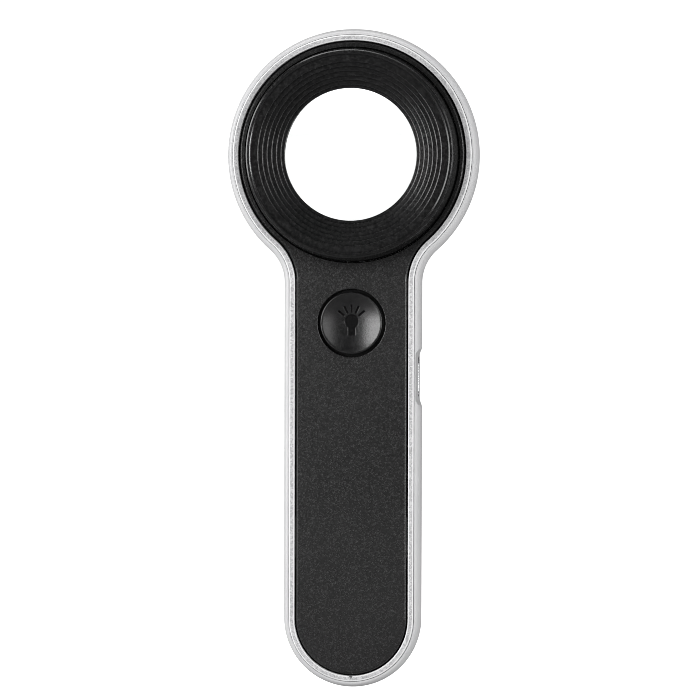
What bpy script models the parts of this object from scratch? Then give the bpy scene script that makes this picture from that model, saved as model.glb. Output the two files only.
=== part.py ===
"""A hand-held, lighted low vision magnifier, built as an assembly of separate pieces.

It stands upright, as a hand holds it: +Z points from the handle to the head, -Y from the flat back
to the eye, and +X to the right of someone looking through it. The origin is the middle of the
outline, on the plane of the flat back.

The pieces are drawn as if the magnifier lay on its back, with the outline in X and Y and the depth
in Z. They all hang on one empty, upright, which turns them to stand.
"""

import math

import bmesh
import bpy
from mathutils import Matrix, Vector

MM = 0.001

# Outline of the case, seen from the front
LENGTH = 148.0 * MM
HEAD_RADIUS = 28.4 * MM
HANDLE_HALF_WIDTH = 15.5 * MM
NECK_FILLET = 9.8 * MM
HEAD_Y = LENGTH / 2 - HEAD_RADIUS
END_Y = -LENGTH / 2 + HANDLE_HALF_WIDTH

# Levels and walls of the case
CASE_DEPTH = 17.0 * MM
FLOOR = 1.8 * MM
PLATE_BOTTOM = 14.05 * MM
PLATE_TOP = 15.5 * MM
PANEL_TOP = CASE_DEPTH - 0.1 * MM
PANEL_BOTTOM = PLATE_TOP + 0.1 * MM
PANEL_INSET = 3.05 * MM
FLANGE_INSET = 2.8 * MM
FRAME_INSET = 1.5 * MM
FRAME_WIDTH = 1.2 * MM
TAB_LENGTH = 9.2 * MM
TAB_REACH = 0.15 * MM
GAP = 0.3 * MM

# Section of the rear shell, as (inset, height) in millimetres
SHELL_OUTSIDE = (
    (4.2, 0.0),
    (2.9, 1.05),
    (1.8, 3.2),
    (0.9, 6.0),
    (0.3, 9.2),
    (0.0, 12.8),
    (0.3, 15.3),
    (1.1, 16.5),
)
SHELL_INSIDE = (
    (1.38, 16.5),
    (1.38, 13.85),
    (1.95, 13.85),
    (2.2, 9.0),
    (2.8, 5.0),
    (3.6, 3.0),
    (5.2, 1.8),
)

# Stepped lens hood and optics
CLEAR_RADIUS = 14.8 * MM
FIRST_STEP_RADIUS = 15.5 * MM
STEP_COUNT = 6
STEP_TREAD = 1.0 * MM
STEP_RISE = 0.4 * MM
HOOD_TOP = CASE_DEPTH + 5.9 * MM
HOOD_SLOPE_TOP = HOOD_TOP - 0.48 * MM
HOOD_SLOPE_FOOT = HOOD_TOP - 0.52 * MM
LIP_INNER_RADIUS = 22.3 * MM
LIP_OUTER_RADIUS = 23.1 * MM
HOOD_BASE_RADIUS = 24.0 * MM
BARREL_RADIUS = 18.2 * MM
BARREL_BOTTOM = 7.6 * MM
LENS_RADIUS = 16.45 * MM
LENS_CURVED_RADIUS = 15.9 * MM
LENS_REAR_SAG = 3.0 * MM
LENS_FRONT_SAG = 4.0 * MM
LENS_RIM_BOTTOM = 9.85 * MM
LENS_RIM_TOP = 12.25 * MM
LENS_SEAT = 12.5 * MM
LENS_BORE = 16.0 * MM
RETAINER_BORE = 15.4 * MM
RETAINER_TOP = 9.6 * MM
REAR_OPENING = 19.8 * MM

# Section of the lamp reflector, as (radius, height) in millimetres
REFLECTOR = (
    (19.45, 0.5),
    (19.45, 1.95),
    (20.9, 1.95),
    (20.9, 2.9),
    (18.9, 2.9),
    (17.3, 7.2),
    (16.3, 7.2),
    (18.9, 0.5),
)

# Push button and latching switch
BUTTON_Y = HEAD_Y - 37.7 * MM
BUTTON_RADIUS = 6.95 * MM
BUTTON_WELL = 7.55 * MM
BUTTON_GUIDE = 8.4 * MM
BUTTON_RIM = CASE_DEPTH + 0.4 * MM
DISH_DEPTH = 0.8 * MM
SIGN_DEPTH = 0.35 * MM
SWITCH_SIZE = (7.0 * MM, 7.0 * MM, 5.1 * MM)
SPRING_RADIUS = 1.6 * MM
SPRING_WIRE = 0.13 * MM
SPRING_TURNS = 3
SPRING_BOTTOM = 7.0 * MM
SPRING_TOP = 8.3 * MM

# Sections of the button's underside, the switch's bore and its plunger, as (radius, height) in millimetres
BUTTON_UNDERSIDE = (
    (0, 15.0),
    (1.75, 15.0),
    (1.75, 13.6),
    (2.4, 13.6),
    (2.4, 15.2),
    (5.9, 15.4),
    (5.9, 14.6),
    (8.05, 14.6),
    (8.05, 15.3),
    (6.95, 15.3),
)
SWITCH_BORE = ((0, 6.8), (2.3, 6.8), (2.3, 10.7), (1.8, 10.7), (1.8, 12.0), (0, 12.0))
PLUNGER = ((0, 9.8), (2.1, 9.8), (2.1, 10.4), (1.5, 10.4), (1.5, 14.7), (0, 14.7))

# Circuit board and charging port
BOARD_BOTTOM = 5.0 * MM
BOARD_TOP = 6.2 * MM
BOARD_WIDTH = 24.8 * MM
BOARD_LOW_Y = -13.0 * MM
BOARD_HIGH_Y = 16.0 * MM
PORT_Y = HEAD_Y - 49.85 * MM
PORT_FACE_X = HANDLE_HALF_WIDTH - 1.2 * MM
PORT_WIDTH = 8.94 * MM
PORT_HEIGHT = 3.26 * MM
PORT_DEPTH = 7.35 * MM
PORT_WALL = 0.35 * MM
PORT_CAVITY = 6.3 * MM
TONGUE_SIZE = (0.7 * MM, 6.7 * MM, 4.8 * MM)
PORT_Z = BOARD_TOP + 0.1 * MM + PORT_HEIGHT / 2
SCALLOP_DEPTH = 1.1 * MM
SCALLOP_FLAT = 9.8 * MM
SCALLOP_LENGTH = 14.2 * MM

# Battery, centred on the handle, as sizes in width, length and depth
BATTERY_Y = -41.5 * MM
BATTERY_SIZE = (21.0 * MM, 37.0 * MM, 6.4 * MM)
BATTERY_BOTTOM = 3.2 * MM
PAD_SIZE = (16.0 * MM, 28.0 * MM, 1.1 * MM)
PAD_BOTTOM = 2.0 * MM
GUARD_Y = -20.6 * MM
GUARD_SIZE = (17.0 * MM, 3.6 * MM, 0.9 * MM)
GUARD_BOTTOM = 5.6 * MM
WIRE_RADIUS = 0.45 * MM

# Fastener places, as (x, y)
CASE_SCREWS = {
    "case_screw_top": (0.0, HEAD_Y + 23.2 * MM),
    "case_screw_neck_left": (-10.6 * MM, HEAD_Y - 26.15 * MM),
    "case_screw_neck_right": (10.6 * MM, HEAD_Y - 26.15 * MM),
    "case_screw_end": (0.0, END_Y - 8.0 * MM),
}
BOARD_SCREWS = {
    "board_screw_left": (-9.3 * MM, -10.0 * MM),
    "board_screw_right": (9.6 * MM, 13.2 * MM),
}
HOOD_SCREW_CIRCLE = 20.2 * MM
HOOD_SCREW_ANGLES = (30, 150, 270)
CASE_BOSS_RADIUS = 2.2 * MM
BOARD_POST_RADIUS = 2.2 * MM
BOSS_SPLIT = 10.0 * MM
SCREW_SHANK_RADIUS = 0.9 * MM
SCREW_SEAT = 2.6 * MM

# Lamps
LED_ANGLES = {"led_left": 225, "led_right": 315}
LED_TILT = math.radians(40)
LED_RADIUS = 1.5 * MM
LED_LENGTH = 5.1 * MM
LED_BOARD_BOTTOM = 9.0 * MM
LED_AXIS_RADIUS = 17.78 * MM
LED_AXIS_HEIGHT = 3.4 * MM
LED_BOARD_OUTER_RADIUS = 24.0 * MM
LED_BOARD_ARC = (213, 327)

HEAD_SEGMENTS = 40
FILLET_SEGMENTS = 5
END_SEGMENTS = 16
ROUND_SEGMENTS = 44
SMALL_SEGMENTS = 12

MATERIALS = {
    "white_gloss": ((0.80, 0.80, 0.81), 0.28, 0.0),
    "white_grain": ((0.78, 0.78, 0.79), 0.55, 0.0),
    "black_grain": ((0.030, 0.030, 0.031), 0.55, 0.0),
    "black_gloss": ((0.018, 0.018, 0.019), 0.30, 0.0),
    "clear_lens": ((0.95, 0.97, 0.97), 0.02, 0.0),
    "led_epoxy": ((0.90, 0.93, 0.95), 0.05, 0.0),
    "reflector": ((0.75, 0.75, 0.77), 0.20, 0.9),
    "steel": ((0.62, 0.62, 0.63), 0.30, 1.0),
    "board_green": ((0.03, 0.20, 0.09), 0.45, 0.0),
    "board_white": ((0.75, 0.76, 0.74), 0.45, 0.0),
    "component": ((0.04, 0.04, 0.045), 0.50, 0.0),
    "capacitor": ((0.48, 0.36, 0.20), 0.50, 0.0),
    "foil": ((0.66, 0.67, 0.69), 0.35, 0.8),
    "foam": ((0.10, 0.10, 0.11), 0.90, 0.0),
    "wire_red": ((0.50, 0.03, 0.03), 0.45, 0.0),
    "wire_black": ((0.02, 0.02, 0.02), 0.45, 0.0),
}


# ---------------------------------------------------------------- scene helpers


def clear_scene():
    for obj in list(bpy.data.objects):
        bpy.data.objects.remove(obj)


def material(name):
    found = bpy.data.materials.get(name)
    if found:
        return found
    colour, roughness, metallic = MATERIALS[name]
    made = bpy.data.materials.new(name)
    made.use_nodes = True
    shader = made.node_tree.nodes["Principled BSDF"]
    shader.inputs["Base Color"].default_value = (*colour, 1.0)
    shader.inputs["Roughness"].default_value = roughness
    shader.inputs["Metallic"].default_value = metallic
    if name in ("clear_lens", "led_epoxy"):
        shader.inputs["Transmission Weight"].default_value = 1.0
    made.diffuse_color = (*colour, 1.0)
    return made


def empty(name, location):
    upright = bpy.data.objects.get("upright")
    made = bpy.data.objects.new(name, None)
    made.parent = upright
    made.location = location
    bpy.context.scene.collection.objects.link(made)
    return made


def stand_upright():
    """The empty that every piece hangs on. It turns depth to -Y and the outline's long axis to +Z."""
    turned = empty("upright", (0, 0, 0))
    turned.rotation_euler = (math.pi / 2, 0, 0)


def mesh_object(name, bm, finish=None, parent=None, location=(0, 0, 0)):
    """An object from a bmesh. With no finish it is a tool for a Boolean, and stays out of the model."""
    bmesh.ops.recalc_face_normals(bm, faces=bm.faces)
    mesh = bpy.data.meshes.new(name)
    bm.to_mesh(mesh)
    bm.free()
    return linked_object(name, mesh, finish, parent, location)


def linked_object(name, data, finish=None, parent=None, location=(0, 0, 0)):
    obj = bpy.data.objects.new(name, data)
    bpy.context.scene.collection.objects.link(obj)
    obj.parent = parent or bpy.data.objects["upright"]
    obj.location = location
    if finish:
        if not data.materials:
            data.materials.append(material(finish))
        if obj.type == "MESH":
            data.shade_smooth()
            data.set_sharp_from_angle(angle=math.radians(35))
    else:
        obj.hide_render = True
        obj.display_type = "WIRE"
    return obj


def boolean(target, operation, tool):
    modifier = target.modifiers.new(tool.name, "BOOLEAN")
    modifier.operation = operation
    modifier.solver = "EXACT"
    modifier.object = tool


def cut(target, *tools):
    for tool in tools:
        boolean(target, "DIFFERENCE", tool)


def join(target, *tools):
    for tool in tools:
        boolean(target, "UNION", tool)


def bevel(target, width, segments=2):
    modifier = target.modifiers.new("edge_rounding", "BEVEL")
    modifier.width = width
    modifier.segments = segments
    modifier.limit_method = "ANGLE"


def baked_mesh(obj):
    """The object's mesh with its modifiers applied. The object itself is removed."""
    graph = bpy.context.evaluated_depsgraph_get()
    mesh = bpy.data.meshes.new_from_object(obj.evaluated_get(graph))
    bpy.data.objects.remove(obj)
    return mesh


# ---------------------------------------------------------------- shape helpers


def arc(centre, radius, start, end, segments):
    """Points on an arc from start to end, in radians, leaving out the last one."""
    for i in range(segments):
        angle = start + (end - start) * i / segments
        yield (centre[0] + radius * math.cos(angle), centre[1] + radius * math.sin(angle))


def keyhole(inset, z):
    """The case outline moved inwards by inset: round head, two neck fillets, straight round-ended handle."""
    head = HEAD_RADIUS - inset
    half = HANDLE_HALF_WIDTH - inset
    fillet = NECK_FILLET + inset
    across = half + fillet
    down = math.sqrt((head + fillet) ** 2 - across**2)
    lean = math.atan2(down, across)
    neck_y = HEAD_Y - down
    points = list(arc((0, HEAD_Y), head, -lean, math.pi + lean, HEAD_SEGMENTS))
    points += arc((-across, neck_y), fillet, lean, 0, FILLET_SEGMENTS)
    points.append((-half, neck_y))
    points += arc((0, END_Y), half, math.pi, 2 * math.pi, END_SEGMENTS)
    points.append((half, END_Y))
    points += arc((across, neck_y), fillet, math.pi, math.pi - lean, FILLET_SEGMENTS)
    return [(x, y, z) for x, y in points]


def loft(bm, rings):
    """A closed solid through rings of equal length, with a flat face on the first and the last."""
    loops = [[bm.verts.new(point) for point in ring] for ring in rings]
    for lower, upper in zip(loops, loops[1:]):
        for i, corner in enumerate(lower):
            j = (i + 1) % len(lower)
            bm.faces.new((corner, lower[j], upper[j], upper[i]))
    bm.faces.new(reversed(loops[0]))
    bm.faces.new(loops[-1])
    return bm


def keyhole_solid(profile):
    """A solid whose outline is the case outline, through (inset, height) pairs."""
    return loft(bmesh.new(), [keyhole(inset, z) for inset, z in profile])


def revolve(bm, profile, segments, centre=(0, 0)):
    """A solid of revolution about the vertical line through centre, from (radius, height) pairs.

    A profile that starts and ends on the axis makes a solid body, and any other makes a ring.
    """
    rings = []
    for radius, z in profile:
        if radius == 0:
            rings.append([bm.verts.new((*centre, z))])
            continue
        circle = arc(centre, radius, 0, 2 * math.pi, segments)
        rings.append([bm.verts.new((x, y, z)) for x, y in circle])
    pairs = list(zip(rings, rings[1:]))
    if profile[0][0] > 0:
        pairs.append((rings[-1], rings[0]))
    for lower, upper in pairs:
        for i in range(segments):
            j = (i + 1) % segments
            corners = [lower[i % len(lower)], lower[j % len(lower)]]
            corners += [upper[j % len(upper)], upper[i % len(upper)]]
            bm.faces.new(list(dict.fromkeys(corners)))
    return bm


def cylinder(bm, centre, radius, bottom, top, segments=SMALL_SEGMENTS):
    return revolve(bm, [(0, bottom), (radius, bottom), (radius, top), (0, top)], segments, centre)


def box(bm, centre, size, z_bottom):
    """An upright box, centred on (x, y), standing on z_bottom."""
    half_x, half_y = size[0] / 2, size[1] / 2
    corners = [(-half_x, -half_y), (half_x, -half_y), (half_x, half_y), (-half_x, half_y)]
    levels = (z_bottom, z_bottom + size[2])
    return loft(bm, [[(centre[0] + x, centre[1] + y, z) for x, y in corners] for z in levels])


def rounded_rectangle(width, height, radius, segments=6):
    """Corner-rounded rectangle about the origin, counter-clockwise."""
    points = []
    for quarter, (sx, sy) in enumerate(((1, 1), (-1, 1), (-1, -1), (1, -1))):
        centre = (sx * (width / 2 - radius), sy * (height / 2 - radius))
        start = quarter * math.pi / 2
        end = start + math.pi / 2
        points += arc(centre, radius, start, end, segments)
        points.append((centre[0] + radius * math.cos(end), centre[1] + radius * math.sin(end)))
    return points


def prism(bm, outline, bottom, top):
    return loft(bm, [[(x, y, z) for x, y in outline] for z in (bottom, top)])


def on_circle(radius, degrees):
    angle = math.radians(degrees)
    return (radius * math.cos(angle), radius * math.sin(angle))


def tube(name, points, radius, finish, parent=None, resolution=2):
    """A round wire along a smooth path through the points."""
    curve = bpy.data.curves.new(name, "CURVE")
    curve.dimensions = "3D"
    curve.bevel_depth = radius
    curve.bevel_resolution = 1
    curve.resolution_u = resolution
    curve.use_fill_caps = True
    spline = curve.splines.new("NURBS")
    spline.points.add(len(points) - 1)
    for point, place in zip(spline.points, points):
        point.co = (*place, 1.0)
    spline.order_u = min(4, len(points))
    spline.use_endpoint_u = True
    return linked_object(name, curve, finish, parent)


# ---------------------------------------------------------------- case


def rear_shell():
    """White tub: side wall, rounded back, screw bosses, lamp opening and the charging port's scallop."""
    section = [(inset * MM, z * MM) for inset, z in SHELL_OUTSIDE + SHELL_INSIDE]
    shell = mesh_object("rear_shell", keyhole_solid(section), "white_gloss")
    outline = rounded_rectangle(PORT_HEIGHT + 2 * GAP, PORT_WIDTH + 2 * GAP, 1.9 * MM)
    window = prism(bmesh.new(), outline, 0, 5 * MM)
    place = (PORT_FACE_X - 3.5 * MM, PORT_Y, PORT_Z)
    window = mesh_object("port_window", window, location=place)
    window.rotation_euler = (0, math.pi / 2, 0)
    cut(shell, window)

    bosses = bmesh.new()
    for place in CASE_SCREWS.values():
        cylinder(bosses, place, CASE_BOSS_RADIUS, FLOOR / 2, BOSS_SPLIT - 0.1 * MM)
    for place in BOARD_SCREWS.values():
        cylinder(bosses, place, BOARD_POST_RADIUS, FLOOR / 2, BOARD_BOTTOM - 0.1 * MM)
    join(shell, mesh_object("rear_bosses", bosses))

    holes = bmesh.new()
    cylinder(holes, (0, HEAD_Y), REAR_OPENING, -1 * MM, 3 * MM, ROUND_SEGMENTS)
    for place in CASE_SCREWS.values():
        well, shank, seat, top = 1.95 * MM, 1.15 * MM, SCREW_SEAT + 0.1 * MM, 11 * MM
        stepped = [(0, -1 * MM), (well, -1 * MM), (well, seat), (shank, seat), (shank, top), (0, top)]
        revolve(holes, stepped, SMALL_SEGMENTS, place)
    for place in BOARD_SCREWS.values():
        cylinder(holes, place, 0.9 * MM, 2.6 * MM, 6 * MM, 12)
    prism(holes, scallop_outline(), -1 * MM, 18 * MM)
    cut(shell, mesh_object("rear_holes", holes))


def scallop_outline():
    """Plan of the finger scallop round the port: a flat with an eased ramp at each end."""
    floor_x = HANDLE_HALF_WIDTH - SCALLOP_DEPTH
    ramp = (SCALLOP_LENGTH - SCALLOP_FLAT) / 2
    steps = 6
    upper = []
    for i in range(steps + 1):
        t = i / steps
        ease = t * t * (3 - 2 * t)
        upper.append((floor_x + ease * (SCALLOP_DEPTH + 0.1 * MM), SCALLOP_FLAT / 2 + ramp * t))
    far_x = HANDLE_HALF_WIDTH + 3 * MM
    upper.append((far_x, SCALLOP_LENGTH / 2))
    lower = [(x, -y) for x, y in reversed(upper)]
    return [(x, y + PORT_Y) for x, y in reversed(upper + lower)]


def front_shell():
    """White plate that closes the tub. Its raised border is the frame seen round the black panel."""
    outer_inset, inner_inset = FRAME_INSET, FRAME_INSET + FRAME_WIDTH
    easing = 0.2 * MM
    profile = [
        (outer_inset, PLATE_BOTTOM),
        (outer_inset, CASE_DEPTH - easing),
        (outer_inset + easing, CASE_DEPTH),
        (inner_inset - easing, CASE_DEPTH),
        (inner_inset, CASE_DEPTH - easing),
        (inner_inset, PLATE_TOP),
    ]
    plate = mesh_object("front_shell", keyhole_solid(profile), "white_grain")
    posts = bmesh.new()
    for place in CASE_SCREWS.values():
        cylinder(posts, place, CASE_BOSS_RADIUS, BOSS_SPLIT + 0.2 * MM, PLATE_BOTTOM + 0.7 * MM)
    join(plate, mesh_object("front_posts", posts))

    holes = bmesh.new()
    cylinder(holes, (0, HEAD_Y), BARREL_RADIUS + GAP, 13 * MM, 17 * MM, ROUND_SEGMENTS)
    cylinder(holes, (0, BUTTON_Y), BUTTON_GUIDE, 13 * MM, 17 * MM, 40)
    for place in CASE_SCREWS.values():
        cylinder(holes, place, SCREW_SHANK_RADIUS + 0.15 * MM, 9 * MM, 14.4 * MM, 12)
    for degrees in HOOD_SCREW_ANGLES:
        x, y = on_circle(HOOD_SCREW_CIRCLE, degrees)
        cylinder(holes, (x, HEAD_Y + y), 1.1 * MM, 13 * MM, 17 * MM, 12)
    pry_notch(holes, inner_inset)
    cut(plate, mesh_object("front_holes", holes))


def pry_notch(bm, inner_inset):
    """A small V in the frame's inner edge at the handle's end, where the panel can be lifted."""
    edge_y = -LENGTH / 2 + inner_inset
    half_width, depth = 0.8 * MM, 0.55 * MM
    outline = [(-half_width, edge_y + depth), (0, edge_y - depth), (half_width, edge_y + depth)]
    prism(bm, outline, PANEL_BOTTOM, CASE_DEPTH + 1 * MM)


def front_panel():
    """Grained black inlay with holes for the hood and the button, and four side snap tabs."""
    easing = 0.15 * MM
    profile = [
        (FLANGE_INSET, PANEL_BOTTOM),
        (FLANGE_INSET, PANEL_BOTTOM + 0.3 * MM),
        (PANEL_INSET, PANEL_BOTTOM + 0.3 * MM),
        (PANEL_INSET, PANEL_TOP - easing),
        (PANEL_INSET + easing, PANEL_TOP),
    ]
    panel = mesh_object("front_panel", keyhole_solid(profile), "black_grain")
    tabs = bmesh.new()
    tab_x = HANDLE_HALF_WIDTH - PANEL_INSET
    for side in (-1, 1):
        for tab_y in (BUTTON_Y + 5.4 * MM, BUTTON_Y - 48.0 * MM):
            centre = (side * (tab_x + TAB_REACH - 1 * MM), tab_y)
            box(tabs, centre, (2 * MM, TAB_LENGTH, 0.6 * MM), PANEL_BOTTOM + 0.45 * MM)
    join(panel, mesh_object("panel_tabs", tabs))
    holes = bmesh.new()
    cylinder(holes, (0, HEAD_Y), HOOD_BASE_RADIUS + 0.25 * MM, 15 * MM, 18 * MM, ROUND_SEGMENTS)
    cylinder(holes, (0, BUTTON_Y), BUTTON_WELL, 15 * MM, 18 * MM, 40)
    cut(panel, mesh_object("panel_holes", holes))


def screw_mesh(head_radius, head_height, shank_radius, shank_length):
    """A pan-head self-tapping screw, head down, with its seat at height 0 and its point up."""
    tip = shank_radius * 0.4
    profile = [
        (0, -head_height),
        (head_radius * 0.8, -head_height),
        (head_radius, 0),
        (shank_radius, 0),
        (shank_radius, shank_length - 2 * shank_radius),
        (tip, shank_length),
        (0, shank_length),
    ]
    screw = mesh_object("screw", revolve(bmesh.new(), profile, 10), "steel")
    slot_long, slot_wide, slot_deep = head_radius * 1.1, head_radius * 0.28, head_height * 0.55
    arms = [
        (slot_long / 2, slot_wide / 2),
        (slot_wide / 2, slot_wide / 2),
        (slot_wide / 2, slot_long / 2),
    ]
    outline = []
    for quarter in range(4):
        turn = Matrix.Rotation(quarter * math.pi / 2, 2)
        outline += [tuple(turn @ Vector(point)) for point in arms]
    cross = prism(bmesh.new(), outline, -head_height - 1 * MM, -head_height + slot_deep)
    cross = mesh_object("cross", cross)
    cut(screw, cross)
    bpy.context.view_layer.update()
    mesh = baked_mesh(screw)
    bpy.data.objects.remove(cross)
    return mesh


def fasteners(head_axis):
    case_mesh = screw_mesh(1.75 * MM, 1.2 * MM, SCREW_SHANK_RADIUS, 11.4 * MM)
    for name, (x, y) in CASE_SCREWS.items():
        linked_object(name, case_mesh, "steel", location=(x, y, SCREW_SEAT))
    board_mesh = screw_mesh(1.7 * MM, 1.0 * MM, 0.7 * MM, 3.6 * MM)
    for name, (x, y) in BOARD_SCREWS.items():
        screw = linked_object(name, board_mesh, "steel", location=(x, y, BOARD_TOP + 0.1 * MM))
        screw.rotation_euler = (math.pi, 0, 0)
    hood_mesh = screw_mesh(1.6 * MM, 1.0 * MM, 0.7 * MM, 5.2 * MM)
    for number, degrees in enumerate(HOOD_SCREW_ANGLES, 1):
        x, y = on_circle(HOOD_SCREW_CIRCLE, degrees)
        place = (x, y, PLATE_BOTTOM - 0.1 * MM)
        linked_object(f"hood_screw_{number}", hood_mesh, "steel", head_axis, place)


# ---------------------------------------------------------------- optics and lamps


def lens_hood(head_axis):
    """Raised black hood: stepped funnel on the eye side, a barrel for the lens on the other."""
    profile = [(BARREL_RADIUS, BARREL_BOTTOM), (LENS_RADIUS + 0.25 * MM, BARREL_BOTTOM)]
    profile += [(LENS_RADIUS + 0.25 * MM, LENS_SEAT), (LENS_BORE, LENS_SEAT)]
    first_tread = HOOD_SLOPE_FOOT - STEP_COUNT * STEP_RISE
    profile += [(LENS_BORE, first_tread - 0.6 * MM), (CLEAR_RADIUS, first_tread - 0.4 * MM)]
    profile.append((CLEAR_RADIUS, first_tread))
    for step in range(STEP_COUNT):
        radius = FIRST_STEP_RADIUS + step * STEP_TREAD
        profile.append((radius, first_tread + step * STEP_RISE))
        profile.append((radius, first_tread + (step + 1) * STEP_RISE))
    profile += [(LIP_INNER_RADIUS, HOOD_SLOPE_TOP), (LIP_INNER_RADIUS + 0.15 * MM, HOOD_TOP)]
    profile += [(LIP_OUTER_RADIUS - 0.2 * MM, HOOD_TOP), (LIP_OUTER_RADIUS, HOOD_TOP - 0.3 * MM)]
    profile += [(HOOD_BASE_RADIUS, PANEL_TOP + 0.3 * MM), (HOOD_BASE_RADIUS, PANEL_BOTTOM)]
    profile += [(22.4 * MM, PANEL_BOTTOM), (22.0 * MM, 20.9 * MM), (BARREL_RADIUS, 19.2 * MM)]
    hood = mesh_object("lens_hood", revolve(bmesh.new(), profile, ROUND_SEGMENTS), "black_gloss", head_axis)
    bosses, pilots = bmesh.new(), bmesh.new()
    for degrees in HOOD_SCREW_ANGLES:
        place = on_circle(HOOD_SCREW_CIRCLE, degrees)
        cylinder(bosses, place, 2.25 * MM, 15.8 * MM, 20.6 * MM)
        cylinder(pilots, place, 0.85 * MM, 15 * MM, 19.6 * MM, 12)
    join(hood, mesh_object("hood_bosses", bosses, parent=head_axis))
    cut(hood, mesh_object("hood_pilots", pilots, parent=head_axis))


def lens(head_axis):
    """Clear biconvex lens with a flat mounting rim."""
    steps = 4
    profile = []
    for sag, edge, order in ((LENS_REAR_SAG, LENS_RIM_BOTTOM, 1), (LENS_FRONT_SAG, LENS_RIM_TOP, -1)):
        sphere = (LENS_CURVED_RADIUS**2 + sag**2) / (2 * sag)
        face = []
        for i in range(steps + 1):
            radius = LENS_CURVED_RADIUS * i / steps
            drop = sphere - math.sqrt(sphere**2 - radius**2)
            face.append((radius, edge + order * (drop - sag)))
        profile += face if order > 0 else face[::-1]
        if order > 0:
            profile += [(LENS_RADIUS, LENS_RIM_BOTTOM), (LENS_RADIUS, LENS_RIM_TOP)]
    mesh_object("lens", revolve(bmesh.new(), profile, 36), "clear_lens", head_axis)


def lens_retainer(head_axis):
    """Screwed ring below the lens, with two spanner notches."""
    inner, outer = RETAINER_BORE, LENS_RADIUS + 0.05 * MM
    bottom = BARREL_BOTTOM + 0.3 * MM
    profile = [(inner, bottom), (outer, bottom), (outer, RETAINER_TOP), (inner, RETAINER_TOP)]
    ring = mesh_object("lens_retainer", revolve(bmesh.new(), profile, 36), "black_gloss", head_axis)
    notches = bmesh.new()
    for side in (-1, 1):
        box(notches, (side * inner, 0), (1.8 * MM, 1.6 * MM, 1.4 * MM), bottom - 0.6 * MM)
    cut(ring, mesh_object("spanner_notches", notches, parent=head_axis))


def led_reflector(head_axis):
    """Bright cone between the rear opening and the lens, with a hole for each lamp."""
    profile = [(r * MM, z * MM) for r, z in REFLECTOR]
    cone = mesh_object("led_reflector", revolve(bmesh.new(), profile, 36), "reflector", head_axis)
    holes = bmesh.new()
    for degrees in LED_ANGLES.values():
        drill = cylinder(bmesh.new(), (0, 0), LED_RADIUS + 0.25 * MM, -4 * MM, 4 * MM)
        drill.transform(led_placement(degrees, 0))
        add_copy(holes, drill)
    cut(cone, mesh_object("lamp_holes", holes, parent=head_axis))


def add_copy(bm, other):
    """Adds the other bmesh's solid to bm, and frees it."""
    scratch = bpy.data.meshes.new("scratch")
    other.to_mesh(scratch)
    other.free()
    bm.from_mesh(scratch)
    bpy.data.meshes.remove(scratch)


def led_placement(degrees, back):
    """Places something pointing along +Z so that it shines down and inwards, set back by some distance."""
    pitch = Matrix.Rotation(math.pi + LED_TILT, 4, "Y")
    place = Matrix.Translation((LED_AXIS_RADIUS, 0, LED_AXIS_HEIGHT))
    spin = Matrix.Rotation(math.radians(degrees), 4, "Z")
    return spin @ place @ pitch @ Matrix.Translation((0, 0, -back))


def leds(head_axis):
    """Two clear round lamps with their legs, leaning in towards the lens axis."""
    dome_steps = 3
    profile = [(0, 0), (1.9 * MM, 0), (1.9 * MM, 0.6 * MM), (LED_RADIUS, 0.6 * MM)]
    for i in range(dome_steps + 1):
        angle = i * math.pi / 2 / dome_steps
        height = LED_LENGTH - LED_RADIUS + LED_RADIUS * math.sin(angle)
        profile.append((LED_RADIUS * math.cos(angle) if i < dome_steps else 0, height))
    protrusion = 1.2 * MM
    for name, degrees in LED_ANGLES.items():
        lamp = mesh_object(name, revolve(bmesh.new(), profile, 12), "led_epoxy", head_axis)
        legs = bmesh.new()
        for side in (-1, 1):
            box(legs, (0, side * 0.65 * MM), (0.4 * MM, 0.4 * MM, 2.7 * MM), -2.4 * MM)
        legs = mesh_object(f"{name}_legs", legs, parent=head_axis)
        for piece in (lamp, legs):
            piece.matrix_local = led_placement(degrees, LED_LENGTH - protrusion)
        join(lamp, legs)


def led_board(head_axis):
    """Arc-shaped board over the lamps, between the barrel and the case wall."""
    inner, outer = BARREL_RADIUS + 0.6 * MM, LED_BOARD_OUTER_RADIUS
    start, end = [math.radians(degrees) for degrees in LED_BOARD_ARC]
    outline = list(arc((0, 0), outer, start, end, 16)) + [on_circle(outer, LED_BOARD_ARC[1])]
    outline += list(arc((0, 0), inner, end, start, 16)) + [on_circle(inner, LED_BOARD_ARC[0])]
    board = prism(bmesh.new(), outline, LED_BOARD_BOTTOM, LED_BOARD_BOTTOM + 1 * MM)
    mesh_object("led_board", board, "board_white", head_axis)


# ---------------------------------------------------------------- button, switch and electronics


def push_button(button_axis):
    """Dished thumb button with an engraved lamp sign, a retaining flange and a socket for the plunger."""
    dish_radius = BUTTON_RADIUS - 0.45 * MM
    sphere = (dish_radius**2 + DISH_DEPTH**2) / (2 * DISH_DEPTH)
    steps = 4
    profile = [(r * MM, z * MM) for r, z in BUTTON_UNDERSIDE]
    profile += [(BUTTON_RADIUS, BUTTON_RIM - 0.3 * MM), (BUTTON_RADIUS - 0.25 * MM, BUTTON_RIM)]
    for i in range(steps + 1):
        radius = dish_radius * (1 - i / steps)
        rise = sphere - math.sqrt(sphere**2 - radius**2)
        profile.append((radius, BUTTON_RIM - DISH_DEPTH + rise))
    button = mesh_object("push_button", revolve(bmesh.new(), profile, 32), "black_gloss", button_axis)
    cut(button, mesh_object("lamp_sign", lamp_sign(), parent=button_axis))


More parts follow.
